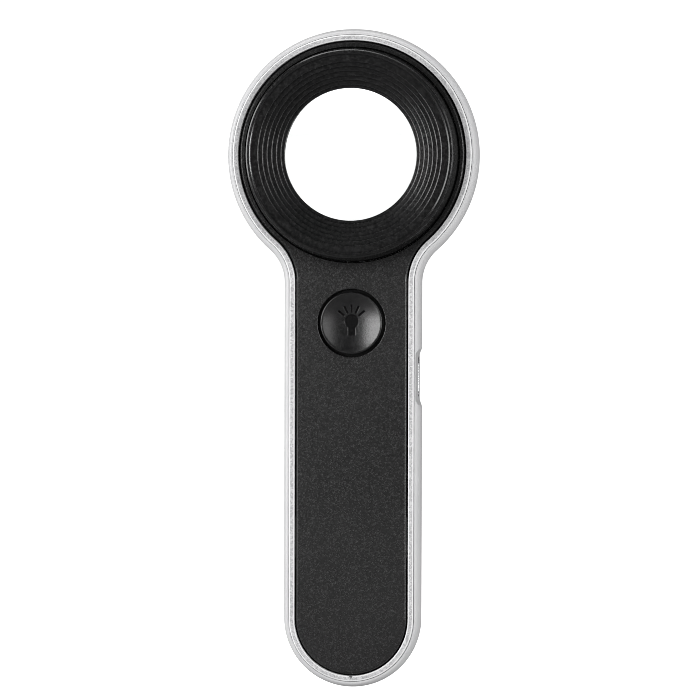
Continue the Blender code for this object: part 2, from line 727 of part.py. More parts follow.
def lamp_sign():
    """Cutter for a plain light bulb sign: round bulb on a square cap, with five rays."""
    bulb_radius, bulb_y, cap_half = 1.6 * MM, 0.35 * MM, 0.9 * MM
    floor_z, top_z = BUTTON_RIM - DISH_DEPTH - SIGN_DEPTH, BUTTON_RIM + 1 * MM
    open_angle = math.asin(cap_half / bulb_radius)
    start = -math.pi / 2 + open_angle
    outline = list(arc((0, bulb_y), bulb_radius, start, 2 * math.pi - math.pi / 2 - open_angle, 16))
    outline += [(-cap_half, bulb_y - 1.3 * MM), (-cap_half, -2.8 * MM), (cap_half, -2.8 * MM)]
    sign = prism(bmesh.new(), outline, floor_z, top_z)
    for ray in range(-2, 3):
        angle = math.pi / 2 - ray * math.radians(25.5)
        along = Vector((math.cos(angle), math.sin(angle)))
        side = Vector((-along.y, along.x)) * 0.22 * MM
        near, far = along * 2.05 * MM, along * 3.8 * MM
        lift = Vector((0, bulb_y))
        corners = [near - side, far - side, far + side, near + side]
        prism(sign, [tuple(corner + lift) for corner in corners], floor_z, top_z)
    return sign


def latching_switch(button_axis):
    """Self-locking push switch: housing on the board, plunger pressed into the button, return spring."""
    housing = mesh_object(
        "switch_body",
        box(bmesh.new(), (0, 0), SWITCH_SIZE, BOARD_TOP + 0.1 * MM),
        "component",
        button_axis,
    )
    bore = revolve(bmesh.new(), [(r * MM, z * MM) for r, z in SWITCH_BORE], 24)
    cut(housing, mesh_object("switch_bore", bore, parent=button_axis))
    stem = revolve(bmesh.new(), [(r * MM, z * MM) for r, z in PLUNGER], 24)
    mesh_object("switch_plunger", stem, "board_white", button_axis)
    per_turn = 10
    coil = []
    for i in range(SPRING_TURNS * per_turn + 1):
        x, y = on_circle(SPRING_RADIUS, 360 * i / per_turn)
        rise = (SPRING_TOP - SPRING_BOTTOM) * i / (SPRING_TURNS * per_turn)
        coil.append((x, y, SPRING_BOTTOM + rise))
    tube("switch_spring", coil, SPRING_WIRE, "steel", button_axis, resolution=1)


def main_board():
    """Circuit board on two posts of the rear shell, with its parts."""
    middle = (BOARD_LOW_Y + BOARD_HIGH_Y) / 2
    outline = rounded_rectangle(BOARD_WIDTH, BOARD_HIGH_Y - BOARD_LOW_Y, 1 * MM, 2)
    outline = [(x, y + middle) for x, y in outline]
    board = mesh_object("main_board", prism(bmesh.new(), outline, BOARD_BOTTOM, BOARD_TOP), "board_green")
    holes = bmesh.new()
    for place in BOARD_SCREWS.values():
        cylinder(holes, place, 1.1 * MM, 4 * MM, 7 * MM)
    cut(board, mesh_object("board_holes", holes))
    on_board = BOARD_TOP + 0.1 * MM
    parts = {
        "charge_controller": ("component", (-4.6 * MM, -4.6 * MM), (5.0 * MM, 4.0 * MM, 1.5 * MM)),
        "led_resistor": ("component", (-7.6 * MM, 6.0 * MM), (1.6 * MM, 3.2 * MM, 0.6 * MM)),
        "charge_capacitor": ("capacitor", (2.6 * MM, -10.2 * MM), (3.2 * MM, 2.5 * MM, 1.6 * MM)),
    }
    for name, (finish, centre, size) in parts.items():
        piece = mesh_object(name, box(bmesh.new(), centre, size, on_board), finish)
        bevel(piece, 0.15 * MM, 1)


def charging_port():
    """USB-C sized receptacle: folded steel shell open at its mouth, and the contact tongue inside."""
    frame = empty("port_axis", (PORT_FACE_X, PORT_Y, PORT_Z))
    frame.rotation_euler = (0, math.pi / 2, 0)
    corner = PORT_HEIGHT / 2 - 0.05 * MM
    outline = rounded_rectangle(PORT_HEIGHT, PORT_WIDTH, corner)
    shell = mesh_object("usb_port_shell", prism(bmesh.new(), outline, -PORT_DEPTH, 0), "steel", frame)
    height, width = PORT_HEIGHT - 2 * PORT_WALL, PORT_WIDTH - 2 * PORT_WALL
    hollow = rounded_rectangle(height, width, corner - PORT_WALL)
    cut(shell, mesh_object("port_hollow", prism(bmesh.new(), hollow, -PORT_CAVITY, 1 * MM), parent=frame))
    tongue = box(bmesh.new(), (0, 0), TONGUE_SIZE, 0.3 * MM - PORT_CAVITY)
    mesh_object("usb_port_tongue", tongue, "component", frame)


def battery():
    """Flat lithium pouch on a foam pad, with its protection board at the head end."""
    pouch = box(bmesh.new(), (0, BATTERY_Y), BATTERY_SIZE, BATTERY_BOTTOM)
    bevel(mesh_object("battery_cell", pouch, "foil"), 1.6 * MM, 2)
    pad = box(bmesh.new(), (0, BATTERY_Y), PAD_SIZE, PAD_BOTTOM)
    mesh_object("battery_foam_pad", pad, "foam")
    guard = box(bmesh.new(), (0, GUARD_Y), GUARD_SIZE, GUARD_BOTTOM)
    mesh_object("battery_protection_board", guard, "board_green")


def wiring():
    """Four insulated leads: battery to board, and board to lamp board."""
    lift = 0.5 * MM
    for side, label, finish in ((-1, "negative", "wire_black"), (1, "positive", "wire_red")):
        x = side * 2.2 * MM - 2.0 * MM
        start_z = GUARD_BOTTOM + 1.0 * MM + lift
        path = [
            (x, GUARD_Y, start_z),
            (x, -18.5 * MM, start_z + 0.4 * MM),
            (x + side * 0.8 * MM, -15.6 * MM, start_z + 1.6 * MM),
            (x, -13.0 * MM, start_z + 0.6 * MM),
            (x, -11.4 * MM, BOARD_TOP + lift + 0.2 * MM),
        ]
        tube(f"battery_wire_{label}", path, WIRE_RADIUS, finish)
        x = side * 2.6 * MM
        path = [
            (x, 13.4 * MM, BOARD_TOP + lift + 0.2 * MM),
            (x, 15.4 * MM, BOARD_TOP + lift + 0.4 * MM),
            (x + side * 1.2 * MM, 19.0 * MM, 8.4 * MM),
            (x + side * 0.6 * MM, 21.2 * MM, 10.6 * MM),
            (x, 24.0 * MM, LED_BOARD_BOTTOM + 1.6 * MM),
        ]
        tube(f"led_wire_{label}", path, WIRE_RADIUS, finish)


def main():
    clear_scene()
    stand_upright()
    head_axis = empty("head_axis", (0, HEAD_Y, 0))
    button_axis = empty("button_axis", (0, BUTTON_Y, 0))
    rear_shell()
    front_shell()
    front_panel()
    lens_hood(head_axis)
    lens(head_axis)
    lens_retainer(head_axis)
    led_reflector(head_axis)
    leds(head_axis)
    led_board(head_axis)
    push_button(button_axis)
    latching_switch(button_axis)
    main_board()
    charging_port()
    battery()
    wiring()
    fasteners(head_axis)


main()
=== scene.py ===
"""The looks of a lighted low vision magnifier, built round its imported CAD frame.

Pieces are drawn as if the magnifier lay on its back, with the outline in X and Y and the depth in Z,
in millimetres. They are then scaled and turned to stand: drawn (x, y, z) becomes (x, -z, y) in metres.
"""

import math

import bmesh
import bpy
from mathutils import Matrix, Quaternion, Vector

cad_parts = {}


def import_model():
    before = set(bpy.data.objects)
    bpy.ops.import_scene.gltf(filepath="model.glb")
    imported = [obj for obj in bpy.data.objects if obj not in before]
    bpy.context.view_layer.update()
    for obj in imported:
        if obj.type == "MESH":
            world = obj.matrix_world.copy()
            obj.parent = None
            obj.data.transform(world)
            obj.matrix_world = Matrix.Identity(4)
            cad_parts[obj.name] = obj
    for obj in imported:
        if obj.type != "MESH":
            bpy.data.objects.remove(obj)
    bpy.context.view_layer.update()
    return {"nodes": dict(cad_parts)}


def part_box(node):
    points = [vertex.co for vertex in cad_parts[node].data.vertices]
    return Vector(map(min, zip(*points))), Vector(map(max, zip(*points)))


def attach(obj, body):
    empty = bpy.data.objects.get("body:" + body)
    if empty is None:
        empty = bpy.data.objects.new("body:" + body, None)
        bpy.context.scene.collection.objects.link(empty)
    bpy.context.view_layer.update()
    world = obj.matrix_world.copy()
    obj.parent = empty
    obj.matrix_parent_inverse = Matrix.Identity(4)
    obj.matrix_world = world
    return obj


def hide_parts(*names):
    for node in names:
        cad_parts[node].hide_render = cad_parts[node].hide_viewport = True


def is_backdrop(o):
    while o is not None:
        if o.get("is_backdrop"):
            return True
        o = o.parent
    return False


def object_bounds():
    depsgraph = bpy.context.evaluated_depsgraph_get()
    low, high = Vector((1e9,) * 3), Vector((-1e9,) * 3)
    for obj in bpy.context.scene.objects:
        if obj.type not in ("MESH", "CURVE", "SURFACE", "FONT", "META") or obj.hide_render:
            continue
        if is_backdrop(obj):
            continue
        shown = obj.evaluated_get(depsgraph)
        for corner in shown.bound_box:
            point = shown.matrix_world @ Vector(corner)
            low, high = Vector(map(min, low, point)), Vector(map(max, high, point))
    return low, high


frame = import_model()

MM = 0.001
STAND = Matrix.Rotation(math.pi / 2, 4, "X") @ Matrix.Scale(MM, 4)


def drawn_box(node):
    """A CAD node's lowest and highest corner, in drawn millimetres."""
    low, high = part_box(node)
    return Vector((low.x, low.z, -high.y)) / MM, Vector((high.x, high.z, -low.y)) / MM


def drawn_centre(node):
    """The middle of a CAD node's box, in drawn millimetres."""
    low, high = drawn_box(node)
    return (low + high) / 2


# Outline of the case; its length and head come from the frame
CASE_LOW, CASE_HIGH = drawn_box("rear_shell")
LENGTH = CASE_HIGH.y - CASE_LOW.y
HEAD_Y = drawn_centre("lens").y
HEAD_RADIUS = LENGTH / 2 - HEAD_Y
HANDLE_HALF_WIDTH = 15.5
NECK_FILLET = 9.8
END_Y = -LENGTH / 2 + HANDLE_HALF_WIDTH

# Levels: those of the frame, and four of the case's own
PANEL_BOTTOM = drawn_box("front_panel")[0].z
PANEL_TOP = drawn_box("front_panel")[1].z
FRAME_TOP = drawn_box("front_shell")[1].z
SHELL_TOP = CASE_HIGH.z
HOOD_BOTTOM = drawn_box("lens_hood")[0].z
HOOD_TOP = drawn_box("lens_hood")[1].z
BUTTON_RIM = drawn_box("push_button")[1].z
SHELL_WIDEST = 12.8
LEDGE_HEIGHT = 13.85
FRAME_BOTTOM = 14.05
LENS_SEAT = 12.5

# Insets of the case's edges, from the outline
BACK_INSET = 4.2
BACK_CURVE = 2 / 1.7
SHOULDER_INSET = 1.25
SHOULDER_TURN = math.radians(80)
LIP_INSET = 1.12
LIP_CORNER_INSET = 1.30
SHELL_INNER_INSET = 1.38
FRAME_OUTER_INSET = 1.47
FRAME_INNER_INSET = 2.72
FLANGE_INSET = 2.75
PANEL_INSET = 3.1
# Inner wall of the shell below its ledge, as (inset, height)
INNER_WALL = [(1.95, LEDGE_HEIGHT), (2.2, 9.0), (2.8, 5.0), (3.6, 3.0), (5.2, 1.8)]

# Edges and openings of the case
FRAME_OUTER_ROUNDING = 0.36
FRAME_INNER_ROUNDING = 0.34
FLANGE_THICKNESS = 0.3
INLAY_CHAMFER_WIDTH = 0.34
INLAY_CHAMFER_HEIGHT = 0.27
NICK_HALF_WIDTH = 0.75
NICK_TIP = 0.1
NICK_DEPTH = 0.62
REAR_OPENING = 19.8
CUT_PAST = 2

# Snap tabs beside the inlay; their places are measured from the button
TAB_OFFSETS = (5.4, -48.0)
TAB_REACH = 0.15
TAB_SIZE = (2, 9.2, 0.6)
TAB_DEPTH = 0.5

# Screws of the back
SCREW_WELL_RADIUS = 1.95
SCREW_WELL_DEPTH = 2.7
SCREW_HEAD_RADIUS = 1.75
SCREW_HEAD_HEIGHT = 1.2
SCREW_SHANK_RADIUS = 0.9
SCREW_TIP_RADIUS = 0.35
SCREW_TIP_LENGTH = 1.8
RECESS_LENGTH = 1.9
RECESS_WIDTH = 0.44
RECESS_DEPTH = 0.65

# Hood, lens and retainer
CLEAR_RADIUS = 14.8
LENS_BORE = 16.0
LENS_RADIUS = 16.45
LENS_CURVED_RADIUS = 15.9
LENS_BACK_SAG = 3.0
LENS_FRONT_SAG = 4.0
RETAINER_BORE = 15.4
RETAINER_RADIUS = 16.5
RETAINER_SEAT_RADIUS = 16.7
BARREL_RADIUS = 18.2
FIRST_STEP_RADIUS = 15.5
STEP_COUNT = 6
STEP_TREAD = 1.0
STEP_RISE = 0.4
SLOPE_FOOT = HOOD_TOP - 0.52
SLOPE_TOP = HOOD_TOP - 0.48
LIP_INNER_RADIUS = 22.3
LIP_OUTER_RADIUS = 23.1
HOOD_BASE_RADIUS = 24.0
# Hollow of the hood behind its face, as (radius, height)
HOOD_HOLLOW = [(22.4, PANEL_BOTTOM), (22.0, 20.9), (BARREL_RADIUS, 19.2)]

# Lamps
LED_ANGLES = {"led_left": 225, "led_right": 315}
LED_TILT = math.radians(40)
LED_RADIUS = 1.5
LED_LENGTH = 5.1
LED_PROTRUSION = 1.2
LED_AXIS_RADIUS = 17.78
LED_AXIS_HEIGHT = 3.4
LED_FLANGE_RADIUS = 1.9
LED_FLANGE_HEIGHT = 0.6
LED_CLEARANCE = 0.25
LEG_SPACING = 1.3
LEG_WIDTH = 0.4
LEG_LENGTH = 2.3

# Button
BUTTON_Y = drawn_centre("push_button").y
BUTTON_RADIUS = 6.95
BUTTON_WELL = 7.55
BUTTON_FLANGE_RADIUS = 8.05
DISH_RADIUS = 6.5
DISH_DEPTH = 0.8
# Underside of the button with the socket for the plunger, as (radius, height)
BUTTON_UNDERSIDE = [(0, 15.0), (1.75, 15.0), (1.75, 13.6), (2.4, 13.6)]
BUTTON_UNDERSIDE += [(2.4, 15.2), (5.9, 15.4), (5.9, 14.6)]

# Lamp sign, from the middle of the button; its rays start and end at a distance from the bulb's middle
BULB_RADIUS = 1.6
BULB_Y = 0.35
CAP_HALF_WIDTH = 0.85
CAP_FOOT = -2.75
RAY_START = 2.05
RAY_END = 3.8
RAY_HALF_WIDTH = 0.22
RAY_SPACING = math.radians(25.5)
SIGN_DEPTH = 0.5

# Charging port
PORT_LOW, PORT_HIGH = drawn_box("usb_port_shell")
PORT = (PORT_LOW + PORT_HIGH) / 2
PORT_WIDTH = PORT_HIGH.y - PORT_LOW.y
PORT_HEIGHT = PORT_HIGH.z - PORT_LOW.z
PORT_DEPTH = PORT_HIGH.x - PORT_LOW.x
PORT_FACE_X = PORT_HIGH.x
PORT_WALL = 0.35
PORT_CAVITY = 6.3
ROLLED_EDGE = 0.16
WINDOW_SPARE_HEIGHT = 0.4
WINDOW_SPARE_LENGTH = 1.2
WINDOW_CORNER = 1.8
TONGUE_SIZE = (0.7, 6.7, 4.8)
CONTACT_COUNT = 12
CONTACT_PITCH = 0.5
CONTACT_SIZE = (0.06, 0.26, 3.6)
SCALLOP_DEPTH = 1.1
SCALLOP_FLAT = 10.2
SCALLOP_LENGTH = 14.6

# How finely things are drawn
HEAD_SEGMENTS = 180
FILLET_SEGMENTS = 20
END_SEGMENTS = 80
ROUND_SEGMENTS = 192

# Studio, in metres
CAMERA_DISTANCE = 0.9
LIGHT_DISTANCE = 0.65
FLOOR_RADIUS = 1.5


# ---------------------------------------------------------------- outlines and solids


def arc(centre, radius, start, end, segments):
    """Points on an arc from start to end, in radians, leaving out the last one."""
    for i in range(segments):
        angle = start + (end - start) * i / segments
        yield (centre[0] + radius * math.cos(angle), centre[1] + radius * math.sin(angle))


def keyhole(inset, z):
    """The case outline moved inwards by inset: round head, two neck fillets, round-ended handle."""
    head = HEAD_RADIUS - inset
    half = HANDLE_HALF_WIDTH - inset
    fillet = NECK_FILLET + inset
    across = half + fillet
    down = math.sqrt((head + fillet) ** 2 - across**2)
    lean = math.atan2(down, across)
    neck_y = HEAD_Y - down
    points = list(arc((0, HEAD_Y), head, -lean, math.pi + lean, HEAD_SEGMENTS))
    points += arc((-across, neck_y), fillet, lean, 0, FILLET_SEGMENTS)
    points.append((-half, neck_y))
    points += arc((0, END_Y), half, math.pi, 2 * math.pi, END_SEGMENTS)
    points.append((half, END_Y))
    points += arc((across, neck_y), fillet, math.pi, math.pi - lean, FILLET_SEGMENTS)
    return [(x, y, z) for x, y in points]


def soften(points, closed=True, steps=4):
    """A profile with its corners rounded. A point is (a, b) for a sharp corner or (a, b, radius)."""
    softened = []
    for i, (a, b, *radius) in enumerate(points):
        here = Vector((a, b))
        at_end = not closed and i in (0, len(points) - 1)
        if not radius or at_end:
            softened.append((a, b))
            continue
        back = Vector(points[i - 1][:2]) - here
        ahead = Vector(points[(i + 1) % len(points)][:2]) - here
        reach = radius[0] / math.tan(back.angle(ahead) / 2)
        reach = min(reach, 0.49 * back.length, 0.49 * ahead.length)
        start = here + back.normalized() * reach
        end = here + ahead.normalized() * reach
        for k in range(steps + 1):
            t = k / steps
            softened.append(tuple(start * (1 - t) ** 2 + here * 2 * t * (1 - t) + end * t * t))
    return softened


def loft(bm, rings):
    """A closed solid through rings of equal length, with a flat face on the first and the last."""
    loops = [[bm.verts.new(point) for point in ring] for ring in rings]
    for lower, upper in zip(loops, loops[1:]):
        for i, corner in enumerate(lower):
            j = (i + 1) % len(lower)
            bm.faces.new((corner, lower[j], upper[j], upper[i]))
    bm.faces.new(reversed(loops[0]))
    bm.faces.new(loops[-1])
    return bm


def keyhole_solid(profile):
    """A solid with the case's outline at each (inset, height) of a profile."""
    return loft(bmesh.new(), [keyhole(inset, z) for inset, z in profile])


def revolve(profile, segments=ROUND_SEGMENTS, centre=(0, 0), bm=None):
    """A solid of revolution from (radius, height) pairs: a body if they end on the axis, or else a ring."""
    bm = bm or bmesh.new()
    rings = []
    for radius, z in profile:
        if radius < 1e-9:
            rings.append([bm.verts.new((*centre, z))])
            continue
        circle = arc(centre, radius, 0, 2 * math.pi, segments)
        rings.append([bm.verts.new((x, y, z)) for x, y in circle])
    pairs = list(zip(rings, rings[1:]))
    if profile[0][0] > 0:
        pairs.append((rings[-1], rings[0]))
    for lower, upper in pairs:
        for i in range(segments):
            j = (i + 1) % segments
            below = [lower[i % len(lower)], lower[j % len(lower)]]
            above = [upper[j % len(upper)], upper[i % len(upper)]]
            bm.faces.new(list(dict.fromkeys(below + above)))
    return bm


def prism(outline, bottom, top, bm=None):
    """An upright solid with a flat outline."""
    return loft(bm or bmesh.new(), [[(x, y, z) for x, y in outline] for z in (bottom, top)])


def box(centre, size, bm=None):
    """An upright box about a centre."""
    half_x, half_y, half_z = (length / 2 for length in size)
    corners = [(-half_x, -half_y), (half_x, -half_y), (half_x, half_y), (-half_x, half_y)]
    outline = [(centre[0] + x, centre[1] + y) for x, y in corners]
    return prism(outline, centre[2] - half_z, centre[2] + half_z, bm)


def rounded_rectangle(width, height, radius, segments=12):
    """Outline of a rectangle with round corners, about the origin."""
    points = []
    for quarter, (sx, sy) in enumerate(((1, 1), (-1, 1), (-1, -1), (1, -1))):
        centre = (sx * (width / 2 - radius), sy * (height / 2 - radius))
        start = quarter * math.pi / 2
        end = start + math.pi / 2
        points += arc(centre, radius, start, end, segments)
        points.append((centre[0] + radius * math.cos(end), centre[1] + radius * math.sin(end)))
    return points


def drill(centre, radius, bottom, top, segments=ROUND_SEGMENTS):
    """A cutter for a plain round hole."""
    return revolve([(0, bottom), (radius, bottom), (radius, top), (0, top)], segments, centre)


def flared_drill(centre, radius, flare, bottom, top):
    """A cutter for a round hole whose upper edge, at top, is left rounded by flare."""
    profile = [(0, bottom), (radius, bottom)]
    for k in range(7):
        angle = k / 6 * math.pi / 2
        profile.append((radius + flare * (1 - math.cos(angle)), top - flare * (1 - math.sin(angle))))
    profile += [(radius + flare, top + 1), (0, top + 1)]
    return revolve(profile, ROUND_SEGMENTS, centre)


def scratch_object(bm):
    """A passing object made from a bmesh, which is used up."""
    bmesh.ops.recalc_face_normals(bm, faces=bm.faces[:])
    mesh = bpy.data.meshes.new("scratch")
    bm.to_mesh(mesh)
    bm.free()
    made = bpy.data.objects.new("scratch", mesh)
    bpy.context.scene.collection.objects.link(made)
    return made


def combine(bm, operation, *tools):
    """bm with each tool cut from it or joined to it in turn. All are closed solids, and all are used up."""
    target = scratch_object(bm)
    helpers = [scratch_object(tool) for tool in tools]
    for helper in helpers:
        modifier = target.modifiers.new("combine", "BOOLEAN")
        modifier.operation = operation
        modifier.solver = "EXACT"
        modifier.object = helper
    graph = bpy.context.evaluated_depsgraph_get()
    mesh = bpy.data.meshes.new_from_object(target.evaluated_get(graph))
    made = bmesh.new()
    made.from_mesh(mesh)
    for helper in [target, *helpers]:
        bpy.data.objects.remove(helper)
    bpy.data.meshes.remove(mesh)
    return made


def carve(bm, *tools):
    """bm with each tool cut from it."""
    return combine(bm, "DIFFERENCE", *tools)


def piece(name, bm, finish, stands_for=(), body="magnifier", sharp_degrees=38):
    """A finished piece from a drawn solid. It rides on a body and hides the CAD nodes it stands for."""
    bmesh.ops.recalc_face_normals(bm, faces=bm.faces[:])
    bm.transform(STAND)
    mesh = bpy.data.meshes.new(name)
    bm.to_mesh(mesh)
    bm.free()
    mesh.materials.append(finish)
    mesh.shade_smooth()
    mesh.set_sharp_from_angle(angle=math.radians(sharp_degrees))
    made = bpy.data.objects.new(name, mesh)
    bpy.context.scene.collection.objects.link(made)
    normals = made.modifiers.new("even_normals", "WEIGHTED_NORMAL")
    normals.keep_sharp = True
    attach(made, body)
    if stands_for:
        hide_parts(*stands_for)
    return made


# ---------------------------------------------------------------- materials


class Finish:
    """A Principled material whose node graph is built up by short calls. Sizes are in millimetres."""

    def __init__(self, name, colour, roughness, metallic=0.0, specular=0.5, slot=None):
        self.material = bpy.data.materials.new(name)
        self.material["slot"] = slot or name
        self.material.use_nodes = True
        self.tree = self.material.node_tree
        self.shader = self.tree.nodes["Principled BSDF"]
        self.set("Base Color", (*colour, 1.0))
        self.set("Roughness", roughness)
        self.set("Metallic", metallic)
        self.set("Specular IOR Level", specular)
        self.place = self.tree.nodes.new("ShaderNodeTexCoord").outputs["Object"]

    def set(self, name, value):
        """Gives one of the shader's inputs a fixed value."""
        self.shader.inputs[name].default_value = value

    def link(self, source, target):
        self.tree.links.new(source, target)

    def use(self, source, name):
        """Drives one of the shader's inputs."""
        self.link(source, self.shader.inputs[name])

    def noise(self, size, detail=2.0, stretch=(1, 1, 1)):
        """Smooth noise, 0 to 1, with lumps of about the given size."""
        spread = self.tree.nodes.new("ShaderNodeMapping")
        spread.inputs["Scale"].default_value = [1 / (size * MM * axis) for axis in stretch]
        node = self.tree.nodes.new("ShaderNodeTexNoise")
        node.inputs["Scale"].default_value = 1.0
        node.inputs["Detail"].default_value = detail
        self.link(self.place, spread.inputs["Vector"])
        self.link(spread.outputs["Vector"], node.inputs["Vector"])
        return node.outputs["Fac"]

    def speckle(self, size):
        """A random value from 0 to 1 for each of many small cells of the given size, with soft limits."""
        node = self.tree.nodes.new("ShaderNodeTexVoronoi")
        node.feature = "SMOOTH_F1"
        node.inputs["Smoothness"].default_value = 0.35
        node.inputs["Scale"].default_value = 1 / (size * MM)
        self.link(self.place, node.inputs["Vector"])
        split = self.tree.nodes.new("ShaderNodeSeparateColor")
        self.link(node.outputs["Color"], split.inputs["Color"])
        return split.outputs["Red"]

    def depth_coordinate(self, source):
        """The part of a vector that points from the front face to the back."""
        split = self.tree.nodes.new("ShaderNodeSeparateXYZ")
        self.link(source, split.inputs["Vector"])
        return split.outputs["Y"]

    def lips(self):
        """0 where the surface faces straight forward, and 1 where it turns over at an edge."""
        normal = self.tree.nodes.new("ShaderNodeNewGeometry").outputs["Normal"]
        return self.ramp(self.depth_coordinate(normal), -0.998, -0.95, 0.0, 1.0)

    def ramp(self, source, low, high, at_low, at_high):
        """Maps a value between low and high to one between at_low and at_high."""
        node = self.tree.nodes.new("ShaderNodeMapRange")
        for name, value in zip(("From Min", "From Max", "To Min", "To Max"), (low, high, at_low, at_high)):
            node.inputs[name].default_value = value
        self.link(source, node.inputs["Value"])
        return node.outputs["Result"]

    def arithmetic(self, operation, first, second):
        """One sum on two values, each of which is a socket or a number."""
        node = self.tree.nodes.new("ShaderNodeMath")
        node.operation = operation
        for source, target in zip((first, second), node.inputs):
            if isinstance(source, (int, float)):
                target.default_value = source
            else:
                self.link(source, target)
        return node.outputs["Value"]

    def blend(self, share, first, second):
        """A colour between two, by a share from 0 to 1."""
        node = self.tree.nodes.new("ShaderNodeMix")
        node.data_type = "RGBA"
        self.link(share, node.inputs["Factor"])
        for name, colour in (("A", first), ("B", second)):
            target = [s for s in node.inputs if s.name == name and s.type == "RGBA"][0]
            if isinstance(colour, tuple):
                target.default_value = (*colour, 1.0)
            else:
                self.link(colour, target)
        return [s for s in node.outputs if s.type == "RGBA"][0]

    def bump(self, height, depth, strength=1.0):
        """Raises the surface by height times depth, on top of earlier bumps."""
        node = self.tree.nodes.new("ShaderNodeBump")
        node.inputs["Strength"].default_value = strength
        node.inputs["Distance"].default_value = depth * MM
        self.link(height, node.inputs["Height"])
        earlier = self.shader.inputs["Normal"].links
        if earlier:
            self.link(earlier[0].from_socket, node.inputs["Normal"])
        self.use(node.outputs["Normal"], "Normal")

    def rounded(self, width):
        """Shades edges as if they were rounded by width, under any bump."""
        bevel = self.tree.nodes.new("ShaderNodeBevel")
        bevel.samples = 6
        bevel.inputs["Radius"].default_value = width * MM
        self.use(bevel.outputs["Normal"], "Normal")

    def openness(self, reach):
        """1 on open surface, falling towards 0 in corners and gaps narrower than reach."""
        node = self.tree.nodes.new("ShaderNodeAmbientOcclusion")
        node.samples = 8
        node.inputs["Distance"].default_value = reach * MM
        return node.outputs["AO"]

    def edges(self, width):
        """1 on outer and inner edges narrower than width, and 0 on flat surface."""
        bevel = self.tree.nodes.new("ShaderNodeBevel")
        bevel.samples = 4
        bevel.inputs["Radius"].default_value = width * MM
        geometry = self.tree.nodes.new("ShaderNodeNewGeometry")
        dot = self.tree.nodes.new("ShaderNodeVectorMath")
        dot.operation = "DOT_PRODUCT"
        self.link(bevel.outputs["Normal"], dot.inputs[0])
        self.link(geometry.outputs["Normal"], dot.inputs[1])
        return self.ramp(dot.outputs["Value"], 0.75, 0.99, 1.0, 0.0)


def smooth_white():
    """Gloss white plastic: faint orange peel, slight flow clouding, and hairline handling marks."""
    made = Finish("white_shell", (0.58, 0.58, 0.59), 0.34, specular=0.45)
    clouding = made.ramp(made.noise(9, 3), 0.3, 0.7, 0.0, 1.0)
    made.use(made.blend(clouding, (0.645, 0.646, 0.655), (0.68, 0.68, 0.685)), "Base Color")
    made.use(made.ramp(made.noise(2.5, 4), 0.3, 0.7, 0.30, 0.40), "Roughness")
    made.bump(made.noise(1.4, 2), 0.012)
    made.bump(made.noise(0.18, 2, (1, 1, 18)), 0.0025)
    return made.material


def grained_white():
    """White plastic with a spark-eroded grain that stops short of the smooth edges, whose paler colour is a
    painted highlight.
    """
    made = Finish("white_frame", (0.56, 0.56, 0.57), 0.5)
    lips = made.lips()
    grain = made.speckle(0.30)
    middle = made.blend(grain, (0.40, 0.40, 0.41), (0.73, 0.73, 0.735))
    # Painted highlight: the smooth edges get a paler base colour than the grained middle.
    made.use(made.blend(lips, middle, (0.94, 0.94, 0.945)), "Base Color")
    made.use(made.ramp(lips, 0.0, 1.0, 0.55, 0.36), "Roughness")
    flat = made.ramp(lips, 0.0, 1.0, 1.0, 0.0)
    made.bump(made.arithmetic("MULTIPLY", made.noise(0.3, 2), flat), 0.03)
    return made.material


def grained_black():
    """Black plastic with a fine grain and a tone that drifts a little, with painted glints on grain cells
    and painted shade in corners, gaps and beside raised parts.
    """
    made = Finish("black_panel", (0.012, 0.012, 0.0125), 0.28, specular=0.75)
    fine = made.noise(0.44, 1)
    drift = made.ramp(made.noise(26, 2), 0.35, 0.65, 0.0, 1.0)
    # Painted glints: random grain cells lifted in the base colour.
    painted_glint = made.arithmetic("POWER", made.speckle(0.28), 3.0)
    base = made.blend(drift, (0.0100, 0.0100, 0.0101), (0.0140, 0.0140, 0.0142))
    # Painted shade: base colour and reflection fall off in gaps and corners and next to the hood and the
    # button.
    unshaded_share = made.ramp(made.openness(5.0), 0.3, 0.95, 0.0, 1.0)
    base_with_painted_glints = made.blend(painted_glint, base, (0.038, 0.038, 0.0385))
    made.use(made.blend(unshaded_share, (0.001, 0.001, 0.001), base_with_painted_glints), "Base Color")
    made.use(made.ramp(unshaded_share, 0.0, 1.0, 0.1, 0.75), "Specular IOR Level")
    made.use(made.ramp(fine, 0.3, 0.7, 0.20, 0.28), "Roughness")
    made.bump(fine, 0.022)
    return made.material


def smooth_black():
    """Satin black plastic with a faint grain, painted shade in its corners by a lower reflection, and
    rubbed, slightly paler edges.
    """
    colour = (0.004, 0.004, 0.0042)
    made = Finish("black_hood", colour, 0.18, specular=0.8)
    rubbing = made.ramp(made.noise(0.8, 3), 0.35, 0.7, 0.2, 0.9)
    worn = made.arithmetic("MULTIPLY", made.edges(0.18), rubbing)
    paler = tuple(channel * 3.2 for channel in colour)
    made.use(made.blend(worn, colour, paler), "Base Color")
    made.use(made.ramp(made.noise(0.6, 3), 0.3, 0.7, 0.13, 0.25), "Roughness")
    # Painted shade: less reflection in corners and gaps, where the steps and the lip shade each other.
    made.use(made.ramp(made.openness(0.9), 0.62, 0.92, 0.22, 0.96), "Specular IOR Level")
    made.bump(made.noise(0.26, 3), 0.004, 0.8)
    return made.material


